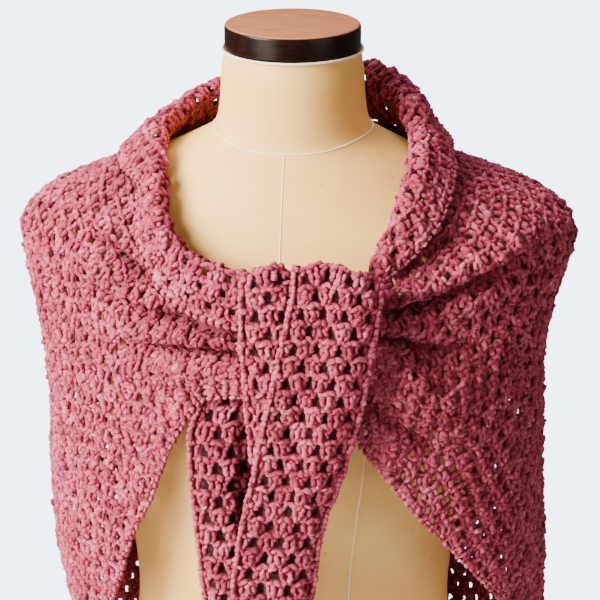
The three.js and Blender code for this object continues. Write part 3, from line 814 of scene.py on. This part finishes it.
class Crochet:
    """The net of clusters on a cloth: where its rows begin and where clusters stand in them."""

    def __init__(self, cloth, wide, pitch, first, fitted=False, shade=no_shade):
        self.cloth, self.wide, self.pitch, self.first = cloth, wide, pitch, first
        self.fitted, self.shade = fitted, shade
        self.rows = int((cloth.length.max() - first) / pitch) + 1

    def row(self, k):
        """Distance along row k at each column, and the width of its clusters."""
        distance = self.cloth.row(self.first + (k + 0.5) * self.pitch)
        if not self.fitted:
            return distance, self.wide
        return distance, distance[-1] / max(round(distance[-1] / self.wide), 1)

    def middles(self, k, holes=False):
        """Distance along row k of its clusters, or of the holes between them."""
        distance, wide = self.row(k)
        shift = 0.5 * (k % 2) + (0.0 if holes else 0.5)
        count = int(distance[-1] / wide) + 2
        middle = (np.arange(-1, count) + shift) * wide
        over = wide * (-HOLE_INSIDE if holes else CLUSTER_OVER)
        return middle[(middle > -over) & (middle < distance[-1] + over)]

    def work(self, rng, spread, chooser):
        """Tufts of all clusters, by the mesh that chooser names for a column."""
        found = {}
        cloth = self.cloth
        columns = np.arange(cloth.count)
        for k in range(self.rows):
            distance, wide = self.row(k)
            middle = self.middles(k)
            count = len(middle)
            cluster_tone = rng.uniform(*TONES, count)
            cluster_lift = rng.normal(0, LIFT_JITTER, count)
            for across, share, turn, *size, stand in CLUSTER:
                jitter = rng.normal(0, PLACE_JITTER, (3, count))
                at_row = middle + across * spread * wide + jitter[0]
                down = self.first + (k + share) * self.pitch + jitter[1]
                fit = np.interp(at_row, distance, columns)
                inside = (at_row > EDGE_MARGIN) & (at_row < distance[-1] - EDGE_MARGIN)
                inside &= down < cloth.length_at(fit) - EDGE_MARGIN
                if not inside.any():
                    continue
                fit, down = fit[inside], down[inside]
                some = len(fit)
                place = cloth.at(fit, down)
                tone = cluster_tone[inside] + rng.normal(0, TONE_JITTER, some)
                shade = self.shade(place, down / cloth.length_at(fit))
                tone = np.clip(tone - shade, 0, 1)
                data = (place, *cloth.directions(fit, down),
                        turn + rng.normal(0, TURN_JITTER, some),
                        np.array(size) * rng.uniform(*SIZES, (some, 3)),
                        stand + cluster_lift[inside] + jitter[2][inside] - SINK * shade, tone)
                groups = chooser(fit)
                for group in set(groups):
                    chosen = groups == group
                    tufts = found.setdefault(group, Tufts(rng))
                    tufts.add(*(item[chosen] for item in data))
        return found

    def ground(self, name, low, high, hole, backed=False):
        """Thin shell on the middle of the cloth, open where the crochet has its holes. Where
        the cloth is doubled the layer behind closes the holes as hollows painted dark as shade."""
        cloth = self.cloth
        hole_wide, hole_top, hole_foot = hole
        width = float(np.diff(cloth.row(cloth.length.max() * WIDTH_AT)[[low, high]])[0])
        columns = np.linspace(low, high, max(int(width / GROUND_STEP), 2) + 1)
        down = [0.0] + [self.first + (k + share) * self.pitch
                        for k in range(self.rows + 1) for share in (0.0, hole_top, hole_foot)]
        grid_down = np.minimum(np.array(down)[None, :], cloth.length_at(columns)[:, None])
        grid_column = columns[:, None] + 0 * grid_down
        open_cell = np.zeros((len(columns) - 1, len(down) - 1), bool)
        tone = np.full(grid_down.shape, GROUND_TONE)
        behind = np.zeros(grid_down.shape)
        step = columns[1] - columns[0]
        for k in range(self.rows):
            distance, _ = self.row(k)
            at_row = self.middles(k, holes=True)
            places = [np.interp(at_row + move, distance, np.arange(cloth.count))
                      for move in (-hole_wide / 2, 0, hole_wide / 2)]
            j = 2 + 3 * k  # the strip of row k that has the holes
            for left, middle, right in zip(*places):
                i = int((middle - low) / step)
                if 1 <= i < len(columns) - 2:
                    grid_column[i, j:j + 2] = left
                    grid_column[i + 1, j:j + 2] = right
                    open_cell[i, j] = not backed
                    if backed:
                        # A closed hole takes tone 0: painted shade in the hollow
                        tone[i:i + 2, j:j + 2] = 0
                        behind[i:i + 2, j:j + 2] = HOLLOW
        _, _, out = cloth.directions(grid_column, grid_down)
        points = cloth.at(grid_column, grid_down) - out * behind[..., None]
        falls = np.diff(grid_down, axis=1)
        keep = (falls[:-1] > THINNEST) & (falls[1:] > THINNEST) & ~open_cell
        index = np.arange(grid_down.size).reshape(grid_down.shape)
        corners = [index[:-1, :-1], index[:-1, 1:], index[1:, 1:], index[1:, :-1]]
        if cloth.outward > 0:
            corners.reverse()
        faces = np.stack([c[keep] for c in corners], -1)
        used, inverse = np.unique(faces, return_inverse=True)
        return array_mesh(name, points.reshape(-1, 3)[used], inverse.reshape(faces.shape),
                          tone.ravel()[used])


def crease_shade(place, share):
    """Painted shade: how much darker the pile is drawn in a crease and just under the collar's
    edge.
    """
    bearing = np.degrees(np.arctan2(place[:, 0], -place[:, 1]))
    below = np.maximum(NECK["edge"](bearing) - place[:, 2], 0)
    total = UNDER_COLLAR * np.exp(-((below / UNDER_COLLAR_REACH) ** 2))
    for depth, _, nearest, along, above in crease_lines(bearing, place[:, 2]):
        if depth < 0:
            off = np.hypot(nearest, CREASE_SHADE_LEAN * np.minimum(above, 0)) / CREASE_SHADE_REACH
            total -= CREASE_SHADE_TONE * depth * ease(along, *CREASE_SHADE_GROWS) * np.exp(-(off ** 2))
    return np.minimum(total, 1)


def collar_shade(place, share):
    """Painted shade: how much darker the collar is drawn inside its fold."""
    return IN_COLLAR * ease(share, *COLLAR_FOLD)


def fold_shade(place, share):
    """Painted shade: how much darker the under end is drawn where it turns back behind the front
    end.
    """
    return IN_FOLD * ease(place[:, 0], *FOLD_ACROSS)


def along_line(wanted, distance, values):
    """Values at the wanted distances along a line of points."""
    return np.stack([np.interp(wanted, distance, values[:, i]) for i in range(3)], 1)


def edge_chain(points, outs, pitch, rng, stand=0.0, slant=SLANT):
    """Edging of slanting tufts along a line of points, standing out of the cloth."""
    tufts = Tufts(rng)
    distance = run(points)
    count = max(int(distance[-1] / pitch), 2)
    wanted = (np.arange(count) + 0.5) * distance[-1] / count
    place, ahead, behind = (along_line(wanted + move, distance, points) for move in (0, 1, -1))
    out = unit(along_line(wanted, distance, outs))
    along = unit(ahead - behind)
    out = unit(out - along * np.sum(out * along, 1, keepdims=True))
    down = np.cross(out, along)
    for side in (-1, 1):
        jitter = rng.normal(0, EDGE_JITTER, (2, count))
        shifted = place + down * (side * slant * ASIDE_PER_SLANT + jitter[0])[:, None]
        size = EDGE_TUFT * rng.uniform(*EDGE_SIZES, (count, 3))
        tone = np.clip(rng.normal(*EDGE_TONE, count), 0, 1)
        turn = side * slant + rng.normal(0, EDGE_TURN_JITTER, count)
        tufts.add(shifted, along, down, out, turn, size, stand + jitter[1], tone)
    return tufts


# Materials

def linear(colour):
    """Linear RGB from an sRGB hex value."""
    parts = [int(colour[i:i + 2], 16) / 255 for i in (0, 2, 4)]
    return tuple(c / 12.92 if c <= 0.04045 else ((c + 0.055) / 1.055) ** 2.4 for c in parts)


def add_node(owner, kind, settings=None, inputs=None, links=None, stops=()):
    """Add a node with its settings, socket values and incoming links, and the positions and
    hex colours of its stops if it is a colour ramp."""
    node = owner.node_tree.nodes.new(kind)
    for name, value in (settings or {}).items():
        setattr(node, name, value)
    for name, value in (inputs or {}).items():
        node.inputs[name].default_value = value
    for name, source in (links or {}).items():
        owner.node_tree.links.new(source, node.inputs[name])
    if stops:
        elements = node.color_ramp.elements
        while len(elements) < len(stops):
            elements.new(0.5)
        for element, (position, colour) in zip(elements, stops):
            element.position = position
            element.color = (*linear(colour), 1)
    return node


def new_material(name):
    """An empty node material, and the place on the object that its patterns follow."""
    material = bpy.data.materials.new(name)
    material.use_nodes = True
    material.node_tree.nodes.clear()
    return material, add_node(material, "ShaderNodeTexCoord").outputs["Object"]


def shaded(material, values, links=None):
    """The material with its shader, whose constants stand on its own sockets."""
    shader = add_node(material, "ShaderNodeBsdfPrincipled", inputs=values, links=links)
    add_node(material, "ShaderNodeOutputMaterial", links={"Surface": shader.outputs["BSDF"]})
    return material


def per_metre(millimetres):
    """Noise scale for features of a size in millimetres, on coordinates in metres."""
    return 1.0 / (millimetres * MM)


ROSE = ((0.25, "501826"), (0.42, "86283e"), (0.56, "ac3654"), (0.72, "ca5272"), (0.92, "ee8ea6"))
# The core's darkest stop gives the painted shade of the closed holes
ROSE_CORE = ((0.32, "14080a"), (0.46, "6c2838"), (0.6, "8c364a"), (0.9, "aa4e64"))


def chenille(name, stops):
    """Chenille yarn: short polyester pile round a twisted core, dyed dusty rose. The pile
    gives a soft bright edge and no gloss; its darker roots are painted shade in the tone."""
    if name in bpy.data.materials:
        return bpy.data.materials[name]
    material, place = new_material(name)
    pile = add_node(material, "ShaderNodeTexNoise", inputs={
        "Scale": per_metre(1.0), "Detail": 3.0, "Roughness": 0.8, "Distortion": 1.0,
    }, links={"Vector": place})
    nap = add_node(material, "ShaderNodeTexNoise", inputs={
        "Scale": per_metre(4.5), "Detail": 2.0, "Roughness": 0.6, "Distortion": 1.5,
    }, links={"Vector": place})
    # The pile gives most of the fluff, and the nap clouds it
    fluff = add_node(material, "ShaderNodeMath", {"operation": "MULTIPLY_ADD"}, {1: 0.45}, {
        0: nap.outputs["Fac"], 2: pile.outputs["Fac"]})
    # Each tuft's own tone, with the painted shade added to it, moves it along the ramp
    tone = add_node(material, "ShaderNodeAttribute", {"attribute_name": "tone"})
    lift = add_node(material, "ShaderNodeMath", {"operation": "MULTIPLY_ADD"}, {
        1: 0.62, 2: -0.42}, {0: tone.outputs["Fac"]})
    mixed = add_node(material, "ShaderNodeMath", {"operation": "ADD"}, links={
        0: fluff.outputs[0], 1: lift.outputs[0]})
    colour = add_node(material, "ShaderNodeValToRGB", links={"Fac": mixed.outputs[0]},
                      stops=stops)
    bump = add_node(material, "ShaderNodeBump", inputs={"Strength": 1.0, "Distance": 0.0013},
                    links={"Height": fluff.outputs[0]})
    return shaded(material, {
        "Roughness": 0.95, "Specular IOR Level": 0.08, "Sheen Weight": 0.3,
        "Sheen Roughness": 0.35, "Sheen Tint": (*linear("ffc4d2"), 1),
    }, {"Base Color": colour.outputs["Color"], "Normal": bump.outputs["Normal"]})


def calico():
    """Calico cover of the form: plain woven cream cotton pulled tight and aged, so it has a
    faint weave, a dry sheen and a few darker specks."""
    material, place = new_material("cream_calico")
    cloud = add_node(material, "ShaderNodeTexNoise", inputs={
        "Scale": per_metre(70), "Detail": 3.0}, links={"Vector": place})
    colour = add_node(material, "ShaderNodeValToRGB", links={"Fac": cloud.outputs["Fac"]}, stops=(
        (0.3, "f0b95f"), (0.55, "f9c972"), (0.8, "fed582")))
    speck = add_node(material, "ShaderNodeTexNoise", inputs={
        "Scale": per_metre(11), "Detail": 1.0}, links={"Vector": place})
    spot = add_node(material, "ShaderNodeValToRGB", links={"Fac": speck.outputs["Fac"]}, stops=(
        (0.76, "ffffff"), (0.79, "b98f5c")))
    stained = add_node(material, "ShaderNodeMix", {
        "data_type": "RGBA", "blend_type": "MULTIPLY"}, {0: 0.55}, {
        6: colour.outputs["Color"], 7: spot.outputs["Color"]})
    # The weave is 0.4 mm in the real cloth and drawn at 0.9 mm, so that it shows at all
    threads = [add_node(material, "ShaderNodeTexWave", {
        "wave_type": "BANDS", "bands_direction": direction}, {
        "Scale": per_metre(0.9) / math.tau, "Distortion": 0.6, "Detail": 1.0,
    }, {"Vector": place}).outputs["Fac"] for direction in ("X", "Z")]
    weave = add_node(material, "ShaderNodeMath", {"operation": "MULTIPLY"}, links={
        0: threads[0], 1: threads[1]})
    bump = add_node(material, "ShaderNodeBump", inputs={"Strength": 0.12, "Distance": 0.0003},
                    links={"Height": weave.outputs[0]})
    return shaded(material, {"Roughness": 0.62, "Specular IOR Level": 0.35}, {
        "Base Color": stained.outputs[2], "Normal": bump.outputs["Normal"]})


def cotton_tape():
    """Cotton tape and seam thread, a little whiter than the cover."""
    material, place = new_material("white_cotton_tape")
    twist = add_node(material, "ShaderNodeTexNoise", inputs={
        "Scale": per_metre(1.5), "Detail": 2.0}, links={"Vector": place})
    colour = add_node(material, "ShaderNodeValToRGB", links={"Fac": twist.outputs["Fac"]}, stops=(
        (0.3, "eadcc0"), (0.7, "fdf8ec")))
    return shaded(material, {"Roughness": 0.75}, {"Base Color": colour.outputs["Color"]})


def stained_beech(lighter_from):
    """Stained beech under satin lacquer. Above the height in metres that it is given, the
    top is drawn in a lighter reddish colour."""
    material, place = new_material("lacquered_dark_beech")
    stretched = add_node(material, "ShaderNodeMapping", inputs={"Scale": (0.12, 1.0, 1.0)},
                         links={"Vector": place})
    grain = add_node(material, "ShaderNodeTexNoise", inputs={
        "Scale": per_metre(3.0), "Detail": 4.0, "Roughness": 0.6, "Distortion": 0.3,
    }, links={"Vector": stretched.outputs["Vector"]}).outputs["Fac"]
    stain = add_node(material, "ShaderNodeValToRGB", links={"Fac": grain}, stops=(
        (0.3, "0a0302"), (0.5, "160705"), (0.65, "220d08"), (0.85, "34150d")))
    # The lighter reddish colour of the cap's top
    top_colour = add_node(material, "ShaderNodeValToRGB", links={"Fac": grain}, stops=(
        (0.35, "ae6640"), (0.7, "cc8558")))
    height = add_node(material, "ShaderNodeSeparateXYZ", links={"Vector": place})
    # Where the lighter top colour takes over
    on_top = add_node(material, "ShaderNodeMapRange", {"interpolation_type": "SMOOTHSTEP"}, {
        "From Min": lighter_from - 0.0012, "From Max": lighter_from - 0.0001}, {
        "Value": height.outputs["Z"]})
    mixed = add_node(material, "ShaderNodeMix", {"data_type": "RGBA"}, links={
        0: on_top.outputs["Result"], 6: stain.outputs["Color"], 7: top_colour.outputs["Color"]})
    bump = add_node(material, "ShaderNodeBump", inputs={"Strength": 0.08, "Distance": 0.0004},
                    links={"Height": grain})
    return shaded(material, {"Roughness": 0.3, "Specular IOR Level": 0.18}, {
        "Base Color": mixed.outputs[2], "Normal": bump.outputs["Normal"]})


# Properties

class ShawlCrochet(bpy.types.PropertyGroup):
    """Sizes of the crochet."""

    wide: FloatProperty(name="Cluster width", description="Width of a cluster of three posts",
                        default=18.5, min=10, max=30)
    pitch: FloatProperty(name="Row height", description="Height of a row on the cape",
                         default=12.0, min=6, max=20)
    tail_pitch: FloatProperty(name="Tail row height", description="Height of a row on the ends",
                              default=13.6, min=6, max=20)
    chain: FloatProperty(name="Edging pitch", description="Length of one edging stitch",
                         default=6.2, min=3, max=12)


class ShawlStage(bpy.types.PropertyGroup):
    """Camera, light and floor."""

    distance: FloatProperty(name="Camera distance", description="From the neck's axis",
                            default=2.0, unit="LENGTH")
    aim: FloatProperty(name="Aim height", description="Height the camera looks at",
                       default=0.544, unit="LENGTH")
    azimuth: FloatProperty(name="Azimuth", description="Turn of the camera round the form",
                           default=math.radians(6.0), subtype="ANGLE")
    elevation: FloatProperty(name="Elevation", description="Camera's angle above the horizon",
                             default=math.radians(19.3), subtype="ANGLE")
    lens: FloatProperty(name="Lens", description="Focal length in millimetres", default=151.2)
    floor: FloatVectorProperty(name="Floor", description="Colour of the floor", subtype="COLOR",
                               default=linear("e9ebec"), min=0, max=1)


# Pieces

def finish(obj, node, material):
    """Ride on the one body, stand for a node and take a material."""
    obj.data.materials.append(material)
    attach(obj, "root")
    if node:
        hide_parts(node)


def yarn_piece(name, tufts):
    """Object made of tufts."""
    yarn = new_object(name, tufts.mesh(name))
    finish(yarn, None, chenille("rose_chenille", ROSE))
    return yarn


def cloth_piece(name, ground, tufts, laid):
    """A stretch of cloth: its thin shell, which stands for the solid, and the yarn on it."""
    shell = new_object(f"{name}_ground", ground)
    finish(shell, name, chenille("rose_chenille_core", ROSE_CORE))
    yarn = yarn_piece(f"{name}_stitches", tufts)
    flat, area = laid


# Operators

FRAME_SIDE = 600  # pixels
SENSOR = 36  # mm
AXIS_LEFT_OF_MIDDLE = 7.0  # pixels
ROOM_SEEN = ("dcecfc", 6.5)
ROOM_LIGHT = ("f1ece6", 0.16)
FLOOR_RADIUS = 0.55
LIGHT_AIM = Vector((0, 0, 0.5))

# Name, place and size in metres, power in watts and colour
LIGHTS = (
    ("key", (-1.5, -1.15, 1.5), 1.2, 195, "fff8ee"),
    ("low", (-1.4, -1.7, 0.3), 1.2, 30, "fff4e6"),
    ("fill", (1.7, -1.2, 1.0), 1.4, 14, "ffe6d2"),
    ("top", (-0.3, 0.7, 2.1), 1.2, 20, "ffffff"),
)


class SHAWL_OT_stage(bpy.types.Operator):
    """Set the camera, the soft light and the floor"""

    bl_idname = "shawl.stage"
    bl_label = "Stage"

    def execute(self, context):
        stage = context.scene.shawl_stage
        turn, rise = stage.azimuth, stage.elevation
        back = Vector((math.sin(turn) * math.cos(rise), -math.cos(turn) * math.cos(rise),
                       math.sin(rise)))
        right = Vector((math.cos(turn), math.sin(turn), 0))
        pixels_per_unit = stage.lens / SENSOR * FRAME_SIDE
        aim = Vector((0, 0, stage.aim)) + right * (
            AXIS_LEFT_OF_MIDDLE / pixels_per_unit * stage.distance)
        camera = new_object("camera", bpy.data.cameras.new("camera"))
        camera.data.lens = stage.lens
        camera.data.sensor_width = SENSOR
        camera.location = aim + back * stage.distance
        camera.rotation_euler = (-back).to_track_quat("-Z", "Y").to_euler()
        context.scene.camera = camera
        for light in LIGHTS:
            self.light(*light)
        self.studio(context)
        self.floor(stage.floor)
        return {"FINISHED"}

    def light(self, name, place, size, power, colour):
        lamp = bpy.data.lights.new(name, "AREA")
        lamp.size = size
        lamp.energy = power
        lamp.color = linear(colour)
        obj = new_object(name, lamp)
        obj.location = place
        obj.rotation_euler = (LIGHT_AIM - Vector(place)).to_track_quat("-Z", "Y").to_euler()

    def studio(self, context):
        """A bright pale room behind the object, and soft light from it."""
        world = bpy.data.worlds.new("studio")
        context.scene.world = world
        world.use_nodes = True
        world.node_tree.nodes.clear()
        rays = add_node(world, "ShaderNodeLightPath")
        soft, seen = (add_node(world, "ShaderNodeBackground", inputs={
            "Color": (*linear(colour), 1), "Strength": strength,
        }).outputs["Background"] for colour, strength in (ROOM_LIGHT, ROOM_SEEN))
        mix = add_node(world, "ShaderNodeMixShader", links={
            "Fac": rays.outputs["Is Camera Ray"], 1: soft, 2: seen})
        add_node(world, "ShaderNodeOutputWorld", links={"Surface": mix.outputs["Shader"]})

    def floor(self, colour):
        plane = bmesh.new()
        bmesh.ops.create_circle(plane, cap_ends=True, segments=96, radius=FLOOR_RADIUS)
        mesh = mesh_of(plane, "floor")
        material, _ = new_material("pale_studio_floor")
        mesh.materials.append(shaded(material, {"Base Color": (*colour, 1), "Roughness": 0.8}))
        new_object("floor", mesh)


FRONT_BEARING = 11.0  # where the fronts meet under the knot
SEAM_BEARING = 100.0  # where a front meets the back
PAST_FRONT = 20  # columns after which a bearing's size only grows


class SHAWL_OT_cape(bpy.types.Operator):
    """Work the back and the two fronts"""

    bl_idname = "shawl.cape"
    bl_label = "Back and fronts"

    def execute(self, context):
        rng = np.random.default_rng(SEED)
        sizes = context.scene.shawl_crochet
        stretches, yarns = [], {}
        for side, to_bearing, outward in (("left", -180, 1), ("right", 180, -1)):
            cloth = cape_cloth(FRONT_BEARING, to_bearing, outward)
            seam = float(np.interp(SEAM_BEARING, np.abs(cloth.bearing[PAST_FRONT:]),
                                   np.arange(PAST_FRONT, cloth.count)))
            front, back = f"shawl_{side}_front", f"shawl_{side}_back"
            net = Crochet(cloth, sizes.wide, sizes.pitch, CAPE_FIRST_ROW, shade=crease_shade)
            for name, low, high in ((front, 0, int(seam)), (back, int(seam), cloth.count - 1)):
                stretches.append((name, net.ground(name, low, high, CAPE_HOLE),
                                  laid_flat(cloth, low, high)))
            yarns.update(net.work(rng, POST_SPREAD, lambda column: np.where(
                column < seam, front, back)))
            self.hem(side, cloth, rng, sizes.chain)
        for name, ground, laid in stretches:
            cloth_piece(name, ground, yarns[name], laid)
        return {"FINISHED"}

    def hem(self, side, cloth, rng, pitch):
        columns = np.arange(2.0, cloth.count - 1, 2.0)
        down = cloth.length_at(columns)
        _, _, out = cloth.directions(columns, down - NEAR_EDGE)
        yarn_piece(f"shawl_hem_{side}", edge_chain(cloth.at(columns, down), out, pitch, rng))


COLLAR_ENDS = (33, 355)  # bearings


class SHAWL_OT_collar(bpy.types.Operator):
    """Work the folded collar and its edging"""

    bl_idname = "shawl.collar"
    bl_label = "Collar"

    def execute(self, context):
        rng = np.random.default_rng(SEED + 1)
        sizes = context.scene.shawl_crochet
        cloth = collar_cloth(*COLLAR_ENDS)
        seams = np.interp((SEAM_BEARING, 360 - SEAM_BEARING), cloth.bearing,
                          np.arange(cloth.count))
        names = ("collar_right", "collar_back", "collar_left")
        net = Crochet(cloth, sizes.wide, sizes.pitch, COLLAR_FIRST_ROW, shade=collar_shade)
        found = net.work(rng, POST_SPREAD, lambda column: np.array(names)[
            np.searchsorted(seams, column)])
        ends = [0, *[int(seam) for seam in seams], cloth.count - 1]
        for name, low, high in zip(names, ends, ends[1:]):
            cloth_piece(name, net.ground(name, low, high, CAPE_HOLE), found[name],
                        laid_flat(cloth, low, high))
        columns = np.arange(0.0, cloth.count - 1, 2.0)
        _, _, out = cloth.directions(columns, 0 * columns + NEAR_EDGE)
        edge = cloth.at(columns, 0 * columns)
        yarn_piece("collar_edging", edge_chain(edge, out, sizes.chain, rng))
        return {"FINISHED"}


# Name, its two tables, side of the cape that it begins on, and the edges that show
TAILS = (
    ("front_tail", FRONT_TAIL, ACROSS_FRONT, 1, ("left", "right")),
    ("tail_pleat", TAIL_PLEAT, ACROSS_PLEAT, 1, ("left",)),
    ("under_tail", UNDER_TAIL, ACROSS_UNDER, -1, ("left", "right")),
)


class SHAWL_OT_tails(bpy.types.Operator):
    """Work the tied ends and their edging"""

    bl_idname = "shawl.tails"
    bl_label = "Tied ends"

    def execute(self, context):
        rng = np.random.default_rng(SEED + 2)
        sizes = context.scene.shawl_crochet
        for name, rows, across, side, edges in TAILS:
            cloth = tail_cloth(rows, across, side)
            last = cloth.count - 1
            net = Crochet(cloth, sizes.wide, sizes.tail_pitch, TAIL_FIRST_ROW, fitted=True,
                          shade=fold_shade if name == "under_tail" else no_shade)
            ground = net.ground(name, 0, last, TAIL_HOLE, backed=True)
            found = net.work(rng, TAIL_SPREAD, lambda column: np.full(len(column), name))
            cloth_piece(name, ground, found[name], laid_flat(cloth, 0, last))
            down = np.arange(0, cloth.length[0], 3.0)
            for edge in edges:
                column = np.full(len(down), 0.0 if edge == "left" else last - 0.01)
                _, _, out = cloth.directions(np.clip(column, 2, last - 2), down)
                chain = edge_chain(cloth.at(column, down), out, TAIL_EDGE_PITCH * sizes.chain,
                                   rng, **TAIL_EDGE)
                yarn_piece(f"{name}_edging_{edge}", chain)
        return {"FINISHED"}


FORM_FOOT = 20.0
FORM_TOP = 749.0
FORM_GAP = 0.3  # to the board and to the cap
NECK_ROUND = 2.2  # how far the padding draws in under the cap
NECK_ROUND_FROM = 728  # height at which that begins
PIPING_RADIUS = 53.8  # of the ring that it runs in
PIPING_THICKNESS = 1.1
NECK_SEAM = (681.0, 688.0, 692.0)  # heights in front, at the sides and behind
NECK_SEAM_TURNS = ((10, 80), (100, 170))  # bearings between which its height changes
NECK_SEAM_RADIUS = 0.7
NECK_SEAM_CLEAR = 0.2
SEAM_CLEAR = 0.1
SEAM_POINTS = 140
SEAM_FOOT = 30
SHOULDERS = 600  # height above which the form's sections stand closer

# Seams: bearing at the shoulder, bearing at the waist, height of the top and radius
PANEL_TURN = (650, 500)  # heights between which a seam goes from one bearing to the other
FORM_SEAMS = {
    "front_seam": (0, 0, 681, 0.45),
    "back_seam": (180, 180, 690, 0.45),
    "front_panel_seam_left": (-62, -32, 655, 0.35),
    "back_panel_seam_left": (-118, -148, 655, 0.35),
    "front_panel_seam_right": (62, 32, 655, 0.35),
    "back_panel_seam_right": (118, 148, 655, 0.35),
}


class SHAWL_OT_form(bpy.types.Operator):
    """Make the dress form with its seams and piping"""

    bl_idname = "shawl.form"
    bl_label = "Dress form"

    def execute(self, context):
        heights = np.concatenate([[FORM_FOOT + FORM_GAP], np.arange(26, SHOULDERS, 8),
                                  np.arange(SHOULDERS, FORM_TOP, 4), [FORM_TOP - FORM_GAP]])
        rounding = NECK_ROUND * ease(heights, NECK_ROUND_FROM, FORM_TOP)
        torso = new_object("dress_form", skin("dress_form", form_rings(heights, rounding)))
        finish(torso, "form_torso", calico())
        bearing = np.linspace(-180, 180, 121)
        front, side, back = NECK_SEAM
        to_side, to_back = (ease(np.abs(bearing), *turn) for turn in NECK_SEAM_TURNS)
        height = front + (side - front) * to_side + (back - side) * to_back
        tubes = {
            "neck_seam": (self.on_form(bearing, height, NECK_SEAM_CLEAR), NECK_SEAM_RADIUS),
            "neck_piping": (at_bearing(bearing, PIPING_RADIUS + 0 * bearing,
                                       FORM_TOP + 0 * bearing), PIPING_THICKNESS),
        }
        for name, (shoulder, waist, top, radius) in FORM_SEAMS.items():
            height = np.linspace(top, SEAM_FOOT, SEAM_POINTS)
            bearing = shoulder + (waist - shoulder) * ease(height, *PANEL_TURN)
            tubes[name] = (self.on_form(bearing, height, SEAM_CLEAR), radius)
        tape = cotton_tape()
        for name, (points, radius) in tubes.items():
            finish(new_object(name, seam_tube(name, points, radius)), None, tape)
        return {"FINISHED"}

    def on_form(self, bearing, height, clear):
        """Points a little clear of the form's cover."""
        return at_bearing(bearing, form_radius(named_bearing(bearing), height) + clear, height)


CAP_RADIUS = 52.5
CAP_EDGE = 2.4  # radius of its rounded edges
BOARD_HEIGHTS = np.array([0, 0.9, 3, 17, 19.1, 20])
BOARD_INSETS = (7, 4.9, 4, 4, 4.9, 7)  # how far the board lies inside the form's foot


class SHAWL_OT_wood(bpy.types.Operator):
    """Make the wooden neck cap and base board"""

    bl_idname = "shawl.wood"
    bl_label = "Cap and board"

    def execute(self, context):
        low, high = (corner[2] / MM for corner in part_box("neck_cap"))
        outline = [(0, low)]
        for centre, start in ((low + CAP_EDGE, -90), (high - CAP_EDGE, 0)):
            for angle in np.radians(np.linspace(start, start + 90, 9)):
                outline.append((CAP_RADIUS - CAP_EDGE + CAP_EDGE * math.cos(angle),
                                centre + CAP_EDGE * math.sin(angle)))
        outline.append((0, high))
        shape = bmesh.new()
        verts = [shape.verts.new((r * MM, 0, z * MM)) for r, z in outline]
        edges = [shape.edges.new(pair) for pair in zip(verts, verts[1:])]
        bmesh.ops.spin(shape, geom=verts + edges, cent=(0, 0, 0), axis=(0, 0, 1), dvec=(0, 0, 0),
                       angle=math.tau, steps=96, use_merge=True)
        bmesh.ops.remove_doubles(shape, verts=shape.verts[:], dist=1e-6)
        bmesh.ops.recalc_face_normals(shape, faces=shape.faces[:])
        for face in shape.faces:
            face.smooth = True
        wood = stained_beech(high * MM)
        finish(new_object("wooden_cap", mesh_of(shape, "wooden_cap")), "neck_cap",
               wood)
        board = skin("wooden_board", form_rings(BOARD_HEIGHTS, BOARD_INSETS))
        finish(new_object("wooden_board", board), "base_board", wood)
        return {"FINISHED"}


class SHAWL_PT_panel(bpy.types.Panel):
    """Lists the pieces of the shawl"""

    bl_idname = "SHAWL_PT_panel"
    bl_label = "Shawl"
    bl_space_type = "VIEW_3D"
    bl_region_type = "UI"
    bl_category = "Shawl"

    def draw(self, context):
        for name in ("wide", "pitch", "tail_pitch", "chain"):
            self.layout.prop(context.scene.shawl_crochet, name)
        for name in ("distance", "aim", "azimuth", "elevation", "lens", "floor"):
            self.layout.prop(context.scene.shawl_stage, name)
        for operator in OPERATORS:
            self.layout.operator(operator.bl_idname)


OPERATORS = (SHAWL_OT_stage, SHAWL_OT_form, SHAWL_OT_wood, SHAWL_OT_cape, SHAWL_OT_collar,
             SHAWL_OT_tails)
CLASSES = (ShawlCrochet, ShawlStage, *OPERATORS, SHAWL_PT_panel)


def register():
    for cls in CLASSES:
        bpy.utils.register_class(cls)
    bpy.types.Scene.shawl_crochet = PointerProperty(type=ShawlCrochet)
    bpy.types.Scene.shawl_stage = PointerProperty(type=ShawlStage)


def unregister():
    del bpy.types.Scene.shawl_stage
    del bpy.types.Scene.shawl_crochet
    for cls in reversed(CLASSES):
        bpy.utils.unregister_class(cls)


def main():
    register()
    bpy.ops.shawl.stage()
    bpy.ops.shawl.form()
    bpy.ops.shawl.wood()
    bpy.ops.shawl.cape()
    bpy.ops.shawl.collar()
    bpy.ops.shawl.tails()


if __name__ == "__main__":
    main()
